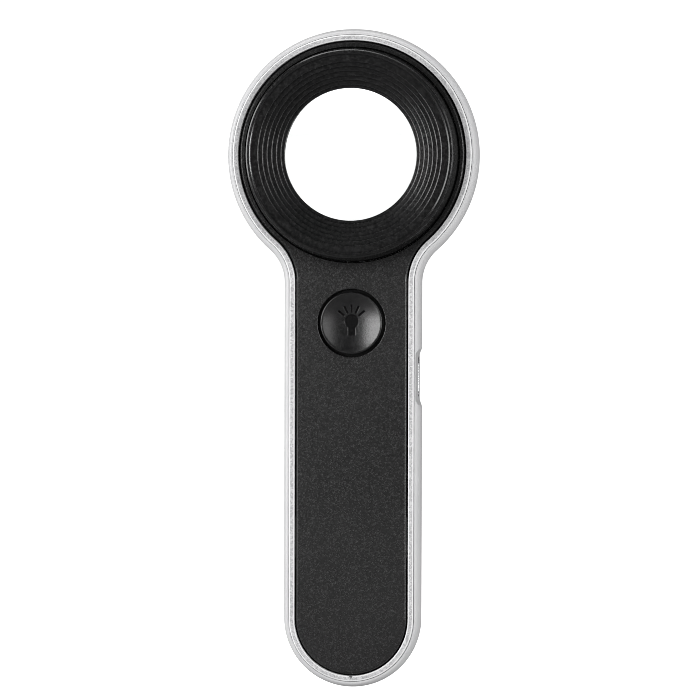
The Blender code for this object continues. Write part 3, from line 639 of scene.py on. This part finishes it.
def satin_button():
    """The button's plastic: like the hood's, with painted glints in the dish and painted shade on the sign's
    smooth floor.

    The depth coordinate grows from the front to the back, so the sign's floor lies past the dish's bottom.
    """
    made = Finish("black_button", (0.004, 0.004, 0.0042), 0.22, specular=0.8)
    made.rounded(0.2)
    dish_bottom = (DISH_DEPTH - BUTTON_RIM) * MM
    depth = made.depth_coordinate(made.place)
    sunk = made.ramp(depth, dish_bottom + 0.2 * MM, dish_bottom + 0.4 * MM, 0.0, 1.0)
    raised = made.ramp(sunk, 0.0, 1.0, 1.0, 0.0)
    grain = made.noise(0.36, 1)
    # Painted glints: random grain cells on the dish lifted in the base colour.
    painted_glint = made.arithmetic("MULTIPLY", made.arithmetic("POWER", made.speckle(0.3), 3.0), raised)
    made.use(made.blend(painted_glint, (0.003, 0.003, 0.0032), (0.018, 0.018, 0.0185)), "Base Color")
    made.use(made.ramp(grain, 0.3, 0.7, 0.19, 0.27), "Roughness")
    # Painted shade: less reflection on the sign's floor, deep in the engraving.
    made.use(made.ramp(sunk, 0.0, 1.0, 0.74, 0.35), "Specular IOR Level")
    made.bump(made.arithmetic("MULTIPLY", grain, raised), 0.012)
    return made.material


def clear_plastic(name, tint, ior, roughness=0.01):
    """Clear moulded plastic with a trace of surface dust."""
    made = Finish(name, tint, roughness, specular=0.5)
    made.set("Transmission Weight", 1.0)
    made.set("IOR", ior)
    made.use(made.ramp(made.noise(0.5, 4), 0.66, 0.8, roughness, roughness + 0.02), "Roughness")
    return made.material


def bright_reflector():
    """Vacuum-metallised plastic, a little uneven."""
    made = Finish("reflector_white", (0.80, 0.80, 0.82), 0.2, metallic=0.85)
    made.use(made.ramp(made.noise(1.2, 3), 0.3, 0.7, 0.14, 0.30), "Roughness")
    made.bump(made.noise(1.8, 2), 0.02, 0.7)
    return made.material


def plated_steel():
    """Nickel-plated steel with fine drawn lines and edges rubbed bright."""
    made = Finish("steel", (0.60, 0.60, 0.615), 0.28, metallic=1.0)
    lines = made.noise(0.10, 2, (1, 1, 14))
    made.use(made.ramp(lines, 0.3, 0.7, 0.20, 0.40), "Roughness")
    made.use(made.blend(made.edges(0.12), (0.56, 0.56, 0.575), (0.74, 0.74, 0.75)), "Base Color")
    made.bump(lines, 0.004)
    return made.material


def circuit_board(name, mask, copper):
    """Solder mask over raised tracks, with a woven base under it."""
    made = Finish(name, mask, 0.4)
    tracks = made.ramp(made.noise(1.1, 0, (1, 1, 3)), 0.50, 0.53, 0.0, 1.0)
    weave = made.noise(0.25, 1)
    made.use(made.blend(tracks, mask, copper), "Base Color")
    made.use(made.ramp(weave, 0.3, 0.7, 0.32, 0.48), "Roughness")
    made.bump(tracks, 0.035)
    made.bump(weave, 0.006)
    return made.material


def moulded(name, colour, roughness=0.5, metallic=0.0, lump=0.4, depth=0.01, slot=None):
    """A plain moulded, pressed or extruded material with its own fine unevenness."""
    made = Finish(name, colour, roughness, metallic, slot=slot)
    grain = made.noise(lump, 3)
    darker = tuple(channel * 0.86 for channel in colour)
    made.use(made.blend(made.ramp(grain, 0.3, 0.7, 0.0, 1.0), darker, colour), "Base Color")
    made.use(made.ramp(grain, 0.3, 0.7, roughness - 0.06, roughness + 0.08), "Roughness")
    made.bump(grain, depth)
    return made.material


WHITE_SHELL = smooth_white()
WHITE_FRAME = grained_white()
BLACK_PANEL = grained_black()
BLACK_HOOD = smooth_black()
BLACK_BUTTON = satin_button()
CLEAR_LENS = clear_plastic("clear_lens", (0.985, 0.995, 0.99), 1.49)
LED_EPOXY = clear_plastic("led_epoxy", (0.97, 0.98, 1.0), 1.52, 0.03)
REFLECTOR = bright_reflector()
STEEL = plated_steel()
BOARD_GREEN = circuit_board("board_green", (0.02, 0.13, 0.06), (0.05, 0.25, 0.11))
BOARD_WHITE = circuit_board("board_white", (0.74, 0.75, 0.73), (0.84, 0.84, 0.80))
COMPONENT = moulded("component_black", (0.035, 0.035, 0.038), 0.5)
CAPACITOR = moulded("capacitor_tan", (0.45, 0.33, 0.18), 0.45)
CELL_FOIL = moulded("cell_foil", (0.66, 0.67, 0.69), 0.34, 0.85, 2.2, 0.05)
FOAM = moulded("foam_grey", (0.10, 0.10, 0.11), 0.9, 0.0, 0.35, 0.08)
WIRE_RED = moulded("wire_red", (0.50, 0.03, 0.03), 0.42)
WIRE_BLACK = moulded("wire_black", (0.02, 0.02, 0.02), 0.42)
PORT_STEEL = moulded("port_steel", (0.92, 0.92, 0.93), 0.22, 1.0, slot="steel")
GOLD = moulded("contact_gold", (0.85, 0.62, 0.25), 0.25, 1.0, slot="steel")
PHOSPHOR = moulded("phosphor_yellow", (0.80, 0.62, 0.12), 0.6, slot="led_epoxy")


# ---------------------------------------------------------------- case


def case_profile():
    """(inset, height) pairs of the rear shell: rounded back, widest line, shoulder, lip and inner wall."""
    back_steps, shoulder_steps = 20, 12
    profile = []
    for i in range(back_steps + 1):
        angle = i / back_steps * math.pi / 2
        inset = BACK_INSET * (1 - math.sin(angle) ** BACK_CURVE)
        profile.append((inset, SHELL_WIDEST * (1 - max(math.cos(angle), 0.0) ** BACK_CURVE)))
    rise = (SHELL_TOP - SHELL_WIDEST) / math.sin(SHOULDER_TURN)
    for i in range(1, shoulder_steps + 1):
        angle = i / shoulder_steps * SHOULDER_TURN
        profile.append((SHOULDER_INSET * (1 - math.cos(angle)), SHELL_WIDEST + rise * math.sin(angle)))
    profile += [(LIP_INSET, SHELL_TOP), (LIP_CORNER_INSET, SHELL_TOP)]
    profile += [(SHELL_INNER_INSET, SHELL_TOP - 0.08), (SHELL_INNER_INSET, LEDGE_HEIGHT)]
    return profile + INNER_WALL


def scallop_outline():
    """Plan of the finger scallop round the port: a flat with an eased ramp at each end."""
    floor_x = HANDLE_HALF_WIDTH - SCALLOP_DEPTH
    ramp = (SCALLOP_LENGTH - SCALLOP_FLAT) / 2
    steps = 24
    upper = []
    for i in range(steps + 1):
        t = i / steps
        ease = 0.5 * t + 0.5 * t * t * (3 - 2 * t)
        upper.append((floor_x + ease * (SCALLOP_DEPTH + 0.1), SCALLOP_FLAT / 2 + ramp * t))
    upper.append((HANDLE_HALF_WIDTH + 3, SCALLOP_LENGTH / 2))
    lower = [(x, -y) for x, y in reversed(upper)]
    return [(x, y + PORT.y) for x, y in reversed(upper + lower)]


def case_screw_names():
    """The CAD nodes of the screws in the back."""
    return [name for name in frame["nodes"] if name.startswith("case_screw_")]


def rear_case():
    """The white tub, with the lamp opening, the screw wells, the scallop and the port's window."""
    wide = REAR_OPENING
    opening = [(0, -CUT_PAST), (wide + 1.4, -CUT_PAST), (wide + 0.5, 0.0), (wide + 0.12, 0.18)]
    opening += [(wide, 0.5), (wide, 4), (0, 4)]
    opening = revolve(opening, ROUND_SEGMENTS, (0, HEAD_Y))
    bore, foot = SCREW_WELL_RADIUS, SCREW_WELL_DEPTH
    well = [(0, -CUT_PAST), (bore + 0.65, -CUT_PAST), (bore + 0.3, -0.15), (bore + 0.05, 0.2)]
    well += [(bore, 0.5), (bore, foot), (0, foot)]
    wells = bmesh.new()
    for place in map(drawn_centre, case_screw_names()):
        revolve(well, 40, (place.x, place.y), wells)
    window = (PORT_HEIGHT + WINDOW_SPARE_HEIGHT, PORT_WIDTH + WINDOW_SPARE_LENGTH)
    window = prism(rounded_rectangle(*window, WINDOW_CORNER), 0, 6)
    inside_wall = Matrix.Translation((PORT_FACE_X - 3.5, PORT.y, PORT.z))
    window.transform(inside_wall @ Matrix.Rotation(math.pi / 2, 4, "Y"))
    scallop = prism(scallop_outline(), -1, SHELL_TOP + 1)
    shell = carve(keyhole_solid(case_profile()), window, opening, wells, scallop)
    piece("rear_case", shell, WHITE_SHELL, ["rear_shell"])


def front_frame():
    """The white plate whose grained border shows round the inlay, with a small V nick at the end."""
    profile = [
        (FRAME_OUTER_INSET, FRAME_BOTTOM),
        (FRAME_OUTER_INSET, FRAME_TOP, FRAME_OUTER_ROUNDING),
        (FRAME_INNER_INSET, FRAME_TOP, FRAME_INNER_ROUNDING),
        (FRAME_INNER_INSET, PANEL_BOTTOM - 0.1),
    ]
    barrel = drill((0, HEAD_Y), BARREL_RADIUS + 0.3, FRAME_BOTTOM - 1, FRAME_TOP + 1, 96)
    well = drill((0, BUTTON_Y), BUTTON_FLANGE_RADIUS + 0.35, FRAME_BOTTOM - 1, FRAME_TOP + 1, 64)
    edge_y = -LENGTH / 2 + FRAME_INNER_INSET
    mouth_y, tip_y = edge_y + 0.5, edge_y - NICK_DEPTH
    nick = [(-NICK_HALF_WIDTH, mouth_y), (-NICK_TIP, tip_y), (NICK_TIP, tip_y), (NICK_HALF_WIDTH, mouth_y)]
    nick = prism(nick, PANEL_BOTTOM, FRAME_TOP + 1)
    plate = carve(keyhole_solid(soften(profile, closed=False)), barrel, well, nick)
    piece("front_frame", plate, WHITE_FRAME, ["front_shell"])


def inlay():
    """The grained black inlay with chamfered edges, a lower flange all round, and the side snap tabs."""
    flange_top = PANEL_BOTTOM + FLANGE_THICKNESS
    profile = [
        (FLANGE_INSET, PANEL_BOTTOM),
        (FLANGE_INSET, flange_top),
        (PANEL_INSET, flange_top),
        (PANEL_INSET, PANEL_TOP - INLAY_CHAMFER_HEIGHT, 0.06),
        (PANEL_INSET + INLAY_CHAMFER_WIDTH, PANEL_TOP, 0.06),
        (PANEL_INSET + 0.6, PANEL_TOP),
    ]
    hood_bore = drill((0, HEAD_Y), HOOD_BASE_RADIUS + 0.03, PANEL_BOTTOM - 1, PANEL_TOP + 1)
    hood_hole = flared_drill((0, HEAD_Y), HOOD_BASE_RADIUS + 0.25, 0.02, flange_top, PANEL_TOP)
    well = flared_drill((0, BUTTON_Y), BUTTON_WELL, 0.3, PANEL_BOTTOM - 1, PANEL_TOP)
    panel = carve(keyhole_solid(soften(profile, closed=False)), hood_bore, hood_hole, well)
    edge_x = HANDLE_HALF_WIDTH - PANEL_INSET
    tabs = bmesh.new()
    for side in (-1, 1):
        for offset in TAB_OFFSETS:
            tab_x = edge_x + TAB_REACH - TAB_SIZE[0] / 2
            box((side * tab_x, BUTTON_Y + offset, PANEL_TOP - TAB_DEPTH), TAB_SIZE, tabs)
    piece("front_inlay", combine(panel, "UNION", tabs), BLACK_PANEL, ["front_panel"])


def case_screws():
    """Pan-head screws with a cross recess, in the wells of the back. Their heads point down when drawn."""
    for name in case_screw_names():
        low, high = drawn_box(name)
        middle = (low + high) / 2
        crown, seat, tip = low.z, low.z + SCREW_HEAD_HEIGHT, high.z
        brim = SCREW_HEAD_RADIUS
        profile = [(0, crown), (brim - 0.65, crown + 0.02), (brim - 0.2, crown + 0.22)]
        profile += [(brim, crown + 0.6), (brim, seat, 0.1), (SCREW_SHANK_RADIUS, seat)]
        profile += [(SCREW_SHANK_RADIUS, tip - SCREW_TIP_LENGTH), (SCREW_TIP_RADIUS, tip), (0, tip)]
        screw = revolve(soften(profile, closed=False), 48, (middle.x, middle.y))
        for size in ((RECESS_LENGTH, RECESS_WIDTH), (RECESS_WIDTH, RECESS_LENGTH)):
            screw = carve(screw, box((middle.x, middle.y, crown), (*size, 2 * RECESS_DEPTH)))
        piece(name.replace("case_screw", "back_screw"), screw, STEEL, [name])


# ---------------------------------------------------------------- optics and lamps


def hood():
    """The raised hood: barrel, clear opening, six fine steps, a sloping face and a rounded lip."""
    first_tread = SLOPE_FOOT - STEP_COUNT * STEP_RISE
    profile = [
        (BARREL_RADIUS, HOOD_BOTTOM, 0.2),
        (RETAINER_SEAT_RADIUS, HOOD_BOTTOM, 0.1),
        (RETAINER_SEAT_RADIUS, LENS_SEAT),
        (LENS_BORE, LENS_SEAT),
        (LENS_BORE, first_tread - 0.6),
        (CLEAR_RADIUS, first_tread - 0.4),
        (CLEAR_RADIUS, first_tread, 0.12),
    ]
    for step in range(STEP_COUNT):
        radius = FIRST_STEP_RADIUS + step * STEP_TREAD
        profile.append((radius, first_tread + step * STEP_RISE, 0.08))
        profile.append((radius, first_tread + (step + 1) * STEP_RISE, 0.20))
    profile += [
        (LIP_INNER_RADIUS - 0.07, SLOPE_TOP, 0.1),
        (LIP_INNER_RADIUS - 0.05, HOOD_TOP - 0.18, 0.04),
        (LIP_INNER_RADIUS + 0.2, HOOD_TOP, 0.05),
        (LIP_OUTER_RADIUS - 0.13, HOOD_TOP, 0.05),
        (LIP_OUTER_RADIUS + 0.13, HOOD_TOP - 0.22, 0.08),
        (HOOD_BASE_RADIUS, PANEL_TOP + 0.3),
        (HOOD_BASE_RADIUS, PANEL_BOTTOM),
    ]
    ring = revolve(soften(profile + HOOD_HOLLOW), ROUND_SEGMENTS, (0, HEAD_Y))
    piece("stepped_hood", ring, BLACK_HOOD, ["lens_hood"], sharp_degrees=60)


def lens():
    """Clear biconvex lens with a flat mounting rim."""
    low, high = drawn_box("lens")
    rim_bottom, rim_top = low.z + LENS_BACK_SAG, high.z - LENS_FRONT_SAG
    steps = 20
    profile = []
    for sag, edge, order in ((LENS_BACK_SAG, rim_bottom, 1), (LENS_FRONT_SAG, rim_top, -1)):
        sphere = (LENS_CURVED_RADIUS**2 + sag**2) / (2 * sag)
        face = []
        for i in range(steps + 1):
            radius = LENS_CURVED_RADIUS * i / steps
            drop = sphere - math.sqrt(sphere**2 - radius**2)
            face.append((radius, edge + order * (drop - sag)))
        profile += face if order > 0 else face[::-1]
        if order > 0:
            profile += [(LENS_RADIUS - 0.1, rim_bottom), (LENS_RADIUS, rim_bottom + 0.1)]
            profile += [(LENS_RADIUS, rim_top - 0.1), (LENS_RADIUS - 0.1, rim_top)]
    piece("magnifying_lens", revolve(profile, 128, (0, HEAD_Y)), CLEAR_LENS, ["lens"])


def retainer():
    """The ring that holds the lens from behind, with two spanner notches."""
    low, high = drawn_box("lens_retainer")
    profile = [(RETAINER_BORE, low.z, 0.2), (RETAINER_RADIUS, low.z, 0.15)]
    profile += [(RETAINER_RADIUS, high.z), (RETAINER_BORE, high.z, 0.2)]
    ring = revolve(soften(profile), 128, (0, HEAD_Y))
    notches = bmesh.new()
    for side in (-1, 1):
        box((side * RETAINER_BORE, HEAD_Y, low.z + 0.1), (1.8, 1.6, 1.4), notches)
    piece("retaining_ring", carve(ring, notches), BLACK_HOOD, ["lens_retainer"])


def led_placement(degrees, back):
    """Places something pointing along +Z so that it shines down and inwards, set back by some distance."""
    pitch = Matrix.Rotation(math.pi + LED_TILT, 4, "Y")
    place = Matrix.Translation((LED_AXIS_RADIUS, 0, LED_AXIS_HEIGHT))
    spin = Matrix.Rotation(math.radians(degrees), 4, "Z")
    head = Matrix.Translation((0, HEAD_Y, 0))
    return head @ spin @ place @ pitch @ Matrix.Translation((0, 0, -back))


def reflector():
    """Bright cone between the rear opening and the lens, with a hole for each lamp."""
    foot, flange_bottom, flange_top, top = 0.5, 1.95, 2.9, 7.2
    profile = [
        (19.45, foot, 0.1),
        (19.45, flange_bottom),
        (20.9, flange_bottom),
        (20.9, flange_top),
        (18.9, flange_top, 0.3),
        (17.3, top, 0.2),
        (16.3, top, 0.2),
        (18.9, foot, 0.2),
    ]
    cone = revolve(soften(profile), ROUND_SEGMENTS, (0, HEAD_Y))
    holes = []
    for degrees in LED_ANGLES.values():
        hole = drill((0, 0), LED_RADIUS + LED_CLEARANCE, -4, 4, 40)
        hole.transform(led_placement(degrees, 0))
        holes.append(hole)
    piece("lamp_reflector", carve(cone, *holes), REFLECTOR, ["led_reflector"])


def lamps():
    """Clear domed lamps, each with a small reflector cup, a yellow chip and two legs."""
    rim, rim_top, edge = LED_FLANGE_RADIUS, LED_FLANGE_HEIGHT, 0.05
    dome = [(0, 0), (rim - edge, 0), (rim, edge), (rim, rim_top - edge), (rim - edge, rim_top)]
    dome.append((LED_RADIUS, rim_top))
    dome += arc((0, LED_LENGTH - LED_RADIUS), LED_RADIUS, 0, math.pi / 2, 12)
    dome.append((0, LED_LENGTH))
    cup = [(0, 2.3), (0.35, 2.3), (0.62, 2.75), (0.72, 2.75), (0.62, 1.9), (0, 1.9)]
    chip = [(0, 2.36), (0.32, 2.36), (0.5, 2.62), (0, 2.66)]
    back = LED_LENGTH - LED_PROTRUSION
    for name, degrees in LED_ANGLES.items():
        legs = bmesh.new()
        for side in (-1, 1):
            leg_y = side * LEG_SPACING / 2
            box((0, leg_y, -0.1 - LEG_LENGTH / 2), (LEG_WIDTH, LEG_WIDTH, LEG_LENGTH), legs)
        shapes = {
            f"{name}_dome": (revolve(dome, 48), LED_EPOXY, [name]),
            f"{name}_cup": (revolve(cup, 32), STEEL, ()),
            f"{name}_chip": (revolve(chip, 32), PHOSPHOR, ()),
            f"{name}_legs": (legs, STEEL, ()),
        }
        for part, (shape, finish, stands_for) in shapes.items():
            shape.transform(led_placement(degrees, back))
            piece(part, shape, finish, stands_for)


# ---------------------------------------------------------------- button and port


def lamp_sign():
    """Cutter for a plain light bulb sign: round bulb on a square cap, with five rays."""
    floor_z, top_z = BUTTON_RIM - DISH_DEPTH - SIGN_DEPTH, BUTTON_RIM + 1
    gap_angle = math.asin(CAP_HALF_WIDTH / BULB_RADIUS)
    start, end = gap_angle - math.pi / 2, 1.5 * math.pi - gap_angle
    outline = list(arc((0, BULB_Y), BULB_RADIUS, start, end, 40))
    outline += [(-CAP_HALF_WIDTH, BULB_Y - 1.3), (-CAP_HALF_WIDTH, CAP_FOOT), (CAP_HALF_WIDTH, CAP_FOOT)]
    sign = prism(outline, floor_z, top_z)
    for ray in range(-2, 3):
        angle = math.pi / 2 - ray * RAY_SPACING
        along = Vector((math.cos(angle), math.sin(angle)))
        side = Vector((-along.y, along.x)) * RAY_HALF_WIDTH
        near, far = along * RAY_START, along * RAY_END
        lift = Vector((0, BULB_Y))
        corners = [near - side, far - side, far + side, near + side]
        prism([tuple(corner + lift) for corner in corners], floor_z, top_z, sign)
    sign.transform(Matrix.Translation((0, BUTTON_Y, 0)))
    return sign


def button():
    """Dished thumb button with a rounded rim and the engraved lamp sign."""
    sphere = (DISH_RADIUS**2 + DISH_DEPTH**2) / (2 * DISH_DEPTH)
    flange_bottom, flange_top = 14.6, 15.3
    profile = BUTTON_UNDERSIDE + [(BUTTON_FLANGE_RADIUS, flange_bottom), (BUTTON_FLANGE_RADIUS, flange_top)]
    profile += [(BUTTON_RADIUS, flange_top), (BUTTON_RADIUS, BUTTON_RIM + 0.03, 0.26)]
    steps = 26
    for i in range(steps + 1):
        radius = DISH_RADIUS * (1 - i / steps)
        rise = sphere - math.sqrt(sphere**2 - radius**2)
        profile.append((radius, BUTTON_RIM - DISH_DEPTH + rise))
    cap = revolve(soften(profile, closed=False, steps=6), 144, (0, BUTTON_Y))
    piece("thumb_button", carve(cap, lamp_sign()), BLACK_BUTTON, ["push_button"], body="button")


def port_frame():
    """Turns something drawn along +Z to face right, with its top at the port's mouth."""
    place = Matrix.Translation((PORT_FACE_X + 0.08, PORT.y, PORT.z))
    return place @ Matrix.Rotation(math.pi / 2, 4, "Y")


def port_ring(inset, z):
    """The receptacle's outline, moved inwards by inset, at height z."""
    corner = PORT_HEIGHT / 2 - 0.05
    outline = rounded_rectangle(PORT_HEIGHT - 2 * inset, PORT_WIDTH - 2 * inset, corner - inset)
    return [(x, y, z) for x, y in outline]


def charging_port():
    """Folded steel receptacle with a rolled mouth, and a tongue with a row of contacts on each face."""
    mouth = [(0.0, -ROLLED_EDGE), (0.03, -0.08), (0.08, -0.03), (ROLLED_EDGE, 0.0)]
    outside = [port_ring(inset, z) for inset, z in [(0.0, -PORT_DEPTH), *mouth]]
    hollow = [(0.0, -PORT_CAVITY), *mouth, (ROLLED_EDGE, 1.0)]
    inside = [port_ring(PORT_WALL - spread, z) for spread, z in hollow]
    shell = carve(loft(bmesh.new(), outside), loft(bmesh.new(), inside))
    shell.transform(port_frame())
    piece("port_shell", shell, PORT_STEEL, ["usb_port_shell"])
    tongue = box((0, 0, -3.6), TONGUE_SIZE)
    bmesh.ops.bevel(tongue, geom=tongue.edges[:], offset=0.12, segments=2, affect="EDGES")
    tongue.transform(port_frame())
    piece("port_tongue", tongue, COMPONENT, ["usb_port_tongue"])
    contacts = bmesh.new()
    for side in (-1, 1):
        for i in range(CONTACT_COUNT):
            contact_y = (i - (CONTACT_COUNT - 1) / 2) * CONTACT_PITCH
            box((side * (TONGUE_SIZE[0] / 2 + 0.01), contact_y, -3.3), CONTACT_SIZE, contacts)
    contacts.transform(port_frame())
    piece("port_contacts", contacts, GOLD)


# ---------------------------------------------------------------- pieces carried over from the CAD


def carried_over():
    """CAD nodes inside the case, which keep their shape and get their finish."""
    finishes = {
        "led_board": BOARD_WHITE,
        "main_board": BOARD_GREEN,
        "battery_protection_board": BOARD_GREEN,
        "switch_body": COMPONENT,
        "switch_plunger": BOARD_WHITE,
        "switch_spring": STEEL,
        "charge_controller": COMPONENT,
        "led_resistor": COMPONENT,
        "charge_capacitor": CAPACITOR,
        "battery_cell": CELL_FOIL,
        "battery_foam_pad": FOAM,
        "battery_wire_negative": WIRE_BLACK,
        "battery_wire_positive": WIRE_RED,
        "led_wire_negative": WIRE_BLACK,
        "led_wire_positive": WIRE_RED,
        "board_screw_left": STEEL,
        "board_screw_right": STEEL,
        "hood_screw_1": STEEL,
        "hood_screw_2": STEEL,
        "hood_screw_3": STEEL,
    }
    for name, finish in finishes.items():
        node = frame["nodes"][name]
        node.data.materials.clear()
        node.data.materials.append(finish)


# ---------------------------------------------------------------- studio


def floor():
    """A white floor that the handle's end rests on. It reads as white, and lights the undersides softly."""
    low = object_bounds()[0]
    mesh = bpy.data.meshes.new("floor")
    circle = bmesh.new()
    bmesh.ops.create_circle(circle, cap_ends=True, radius=FLOOR_RADIUS, segments=96)
    circle.to_mesh(mesh)
    circle.free()
    made = bpy.data.objects.new("floor", mesh)
    made.location = (0, 0, low.z)
    bpy.context.scene.collection.objects.link(made)
    paint = Finish("floor_paint", (0.93, 0.93, 0.93), 0.8, specular=0.0)
    seen = seen_directly(paint.tree)
    paint.use(paint.blend(seen, (0.2, 0.2, 0.2), (0.93, 0.93, 0.93)), "Base Color")
    paint.set("Emission Color", (1, 1, 1, 1))
    path = paint.tree.nodes.new("ShaderNodeLightPath")
    felt = paint.ramp(path.outputs["Is Diffuse Ray"], 0, 1, 0.0, 0.35)
    paint.use(paint.arithmetic("MAXIMUM", paint.ramp(seen, 0, 1, 0.0, 1.0), felt), "Emission Strength")
    paint.material.cycles.emission_sampling = "NONE"
    mesh.materials.append(paint.material)
    made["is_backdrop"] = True


def seen_directly(tree):
    """1 for rays from the camera, straight or through clear plastic, and 0 for rays that carry light."""
    path = tree.nodes.new("ShaderNodeLightPath")
    direct = tree.nodes.new("ShaderNodeMath")
    direct.operation = "MAXIMUM"
    tree.links.new(path.outputs["Is Camera Ray"], direct.inputs[0])
    tree.links.new(path.outputs["Is Transmission Ray"], direct.inputs[1])
    return direct.outputs["Value"]


def world():
    """White behind everything, and a dimmer even light all round."""
    made = bpy.data.worlds.new("studio")
    bpy.context.scene.world = made
    made.use_nodes = True
    made.cycles.sampling_method = "NONE"
    nodes, links = made.node_tree.nodes, made.node_tree.links
    nodes.clear()
    seen, felt = nodes.new("ShaderNodeBackground"), nodes.new("ShaderNodeBackground")
    seen.inputs["Color"].default_value = (1, 1, 1, 1)
    seen.inputs["Strength"].default_value = 1.12
    felt.inputs["Color"].default_value = (1, 1, 1, 1)
    felt.inputs["Strength"].default_value = 0.06
    mix = nodes.new("ShaderNodeMixShader")
    links.new(seen_directly(made.node_tree), mix.inputs["Fac"])
    links.new(felt.outputs["Background"], mix.inputs[1])
    links.new(seen.outputs["Background"], mix.inputs[2])
    output = nodes.new("ShaderNodeOutputWorld")
    links.new(mix.outputs["Shader"], output.inputs["Surface"])


def softbox(name, camera, bearing, climb, size, radiance):
    """A large soft light beside the subject, held by the camera's rig so that every view is lit alike.

    bearing is degrees to the camera's right of the line from subject to camera, and climb is degrees up.
    """
    data = bpy.data.lights.new(name, "AREA")
    data.shape = "RECTANGLE"
    data.size, data.size_y = size
    data.energy = radiance * math.pi * size[0] * size[1]
    made = bpy.data.objects.new(name, data)
    bpy.context.scene.collection.objects.link(made)
    turn, rise = math.radians(bearing), math.radians(climb)
    aim = Vector((math.sin(turn) * math.cos(rise), math.sin(rise), math.cos(turn) * math.cos(rise)))
    made.parent = camera
    made.location = aim * LIGHT_DISTANCE - Vector((0, 0, CAMERA_DISTANCE))
    across = Vector((0, 1, 0)).cross(aim).normalized()
    made.rotation_euler = Matrix((across, aim.cross(across), aim)).transposed().to_euler()
    made.visible_camera = False
    made.visible_transmission = False


def camera_and_lights():
    """Long lens, a little to the right of straight on, with seven softboxes round the magnifier.

    Strips to the left and right shine in the hood's steps and the button's dish, large boxes at the sides
    light the case's edges, and one above and behind lights the top of the head.
    """
    width_seen = 156.95 * MM
    azimuth, elevation = math.radians(5.9), math.radians(0.6)
    target = Vector((-0.32 * MM, -PANEL_TOP * MM, 1.86 * MM))
    data = bpy.data.cameras.new("camera")
    data.sensor_width = 36.0
    data.lens = data.sensor_width * CAMERA_DISTANCE / width_seen
    data.clip_start, data.clip_end = 0.01, 10.0
    made = bpy.data.objects.new("camera", data)
    bpy.context.scene.collection.objects.link(made)
    level = math.cos(elevation)
    back = Vector((math.sin(azimuth) * level, -math.cos(azimuth) * level, math.sin(elevation)))
    made.location = target + back * CAMERA_DISTANCE
    made.rotation_mode = "QUATERNION"
    roll = Quaternion((0, 0, 1), math.radians(0.13))
    made.rotation_quaternion = back.to_track_quat("Z", "Y") @ roll
    bpy.context.scene.camera = made
    softbox("key_strip", made, -36, 0, (0.24, 0.50), 6.8)
    softbox("fill_near", made, 15, 2, (0.20, 0.55), 1.9)
    softbox("fill_strip", made, 36, 2, (0.20, 0.60), 3.4)
    softbox("edge_strip", made, 58, 0, (0.09, 0.40), 10.0)
    softbox("side_left", made, -88, 2, (0.66, 0.75), 3.5)
    softbox("side_right", made, 88, 2, (0.56, 0.75), 0.95)
    softbox("top", made, 0, 99, (0.75, 0.34), 3.0)


rear_case()
front_frame()
inlay()
case_screws()
hood()
lens()
retainer()
reflector()
lamps()
button()
charging_port()
carried_over()
world()
camera_and_lights()
floor()
bpy.context.scene.view_settings.view_transform = "Standard"
bpy.context.scene.cycles.filter_width = 0.85
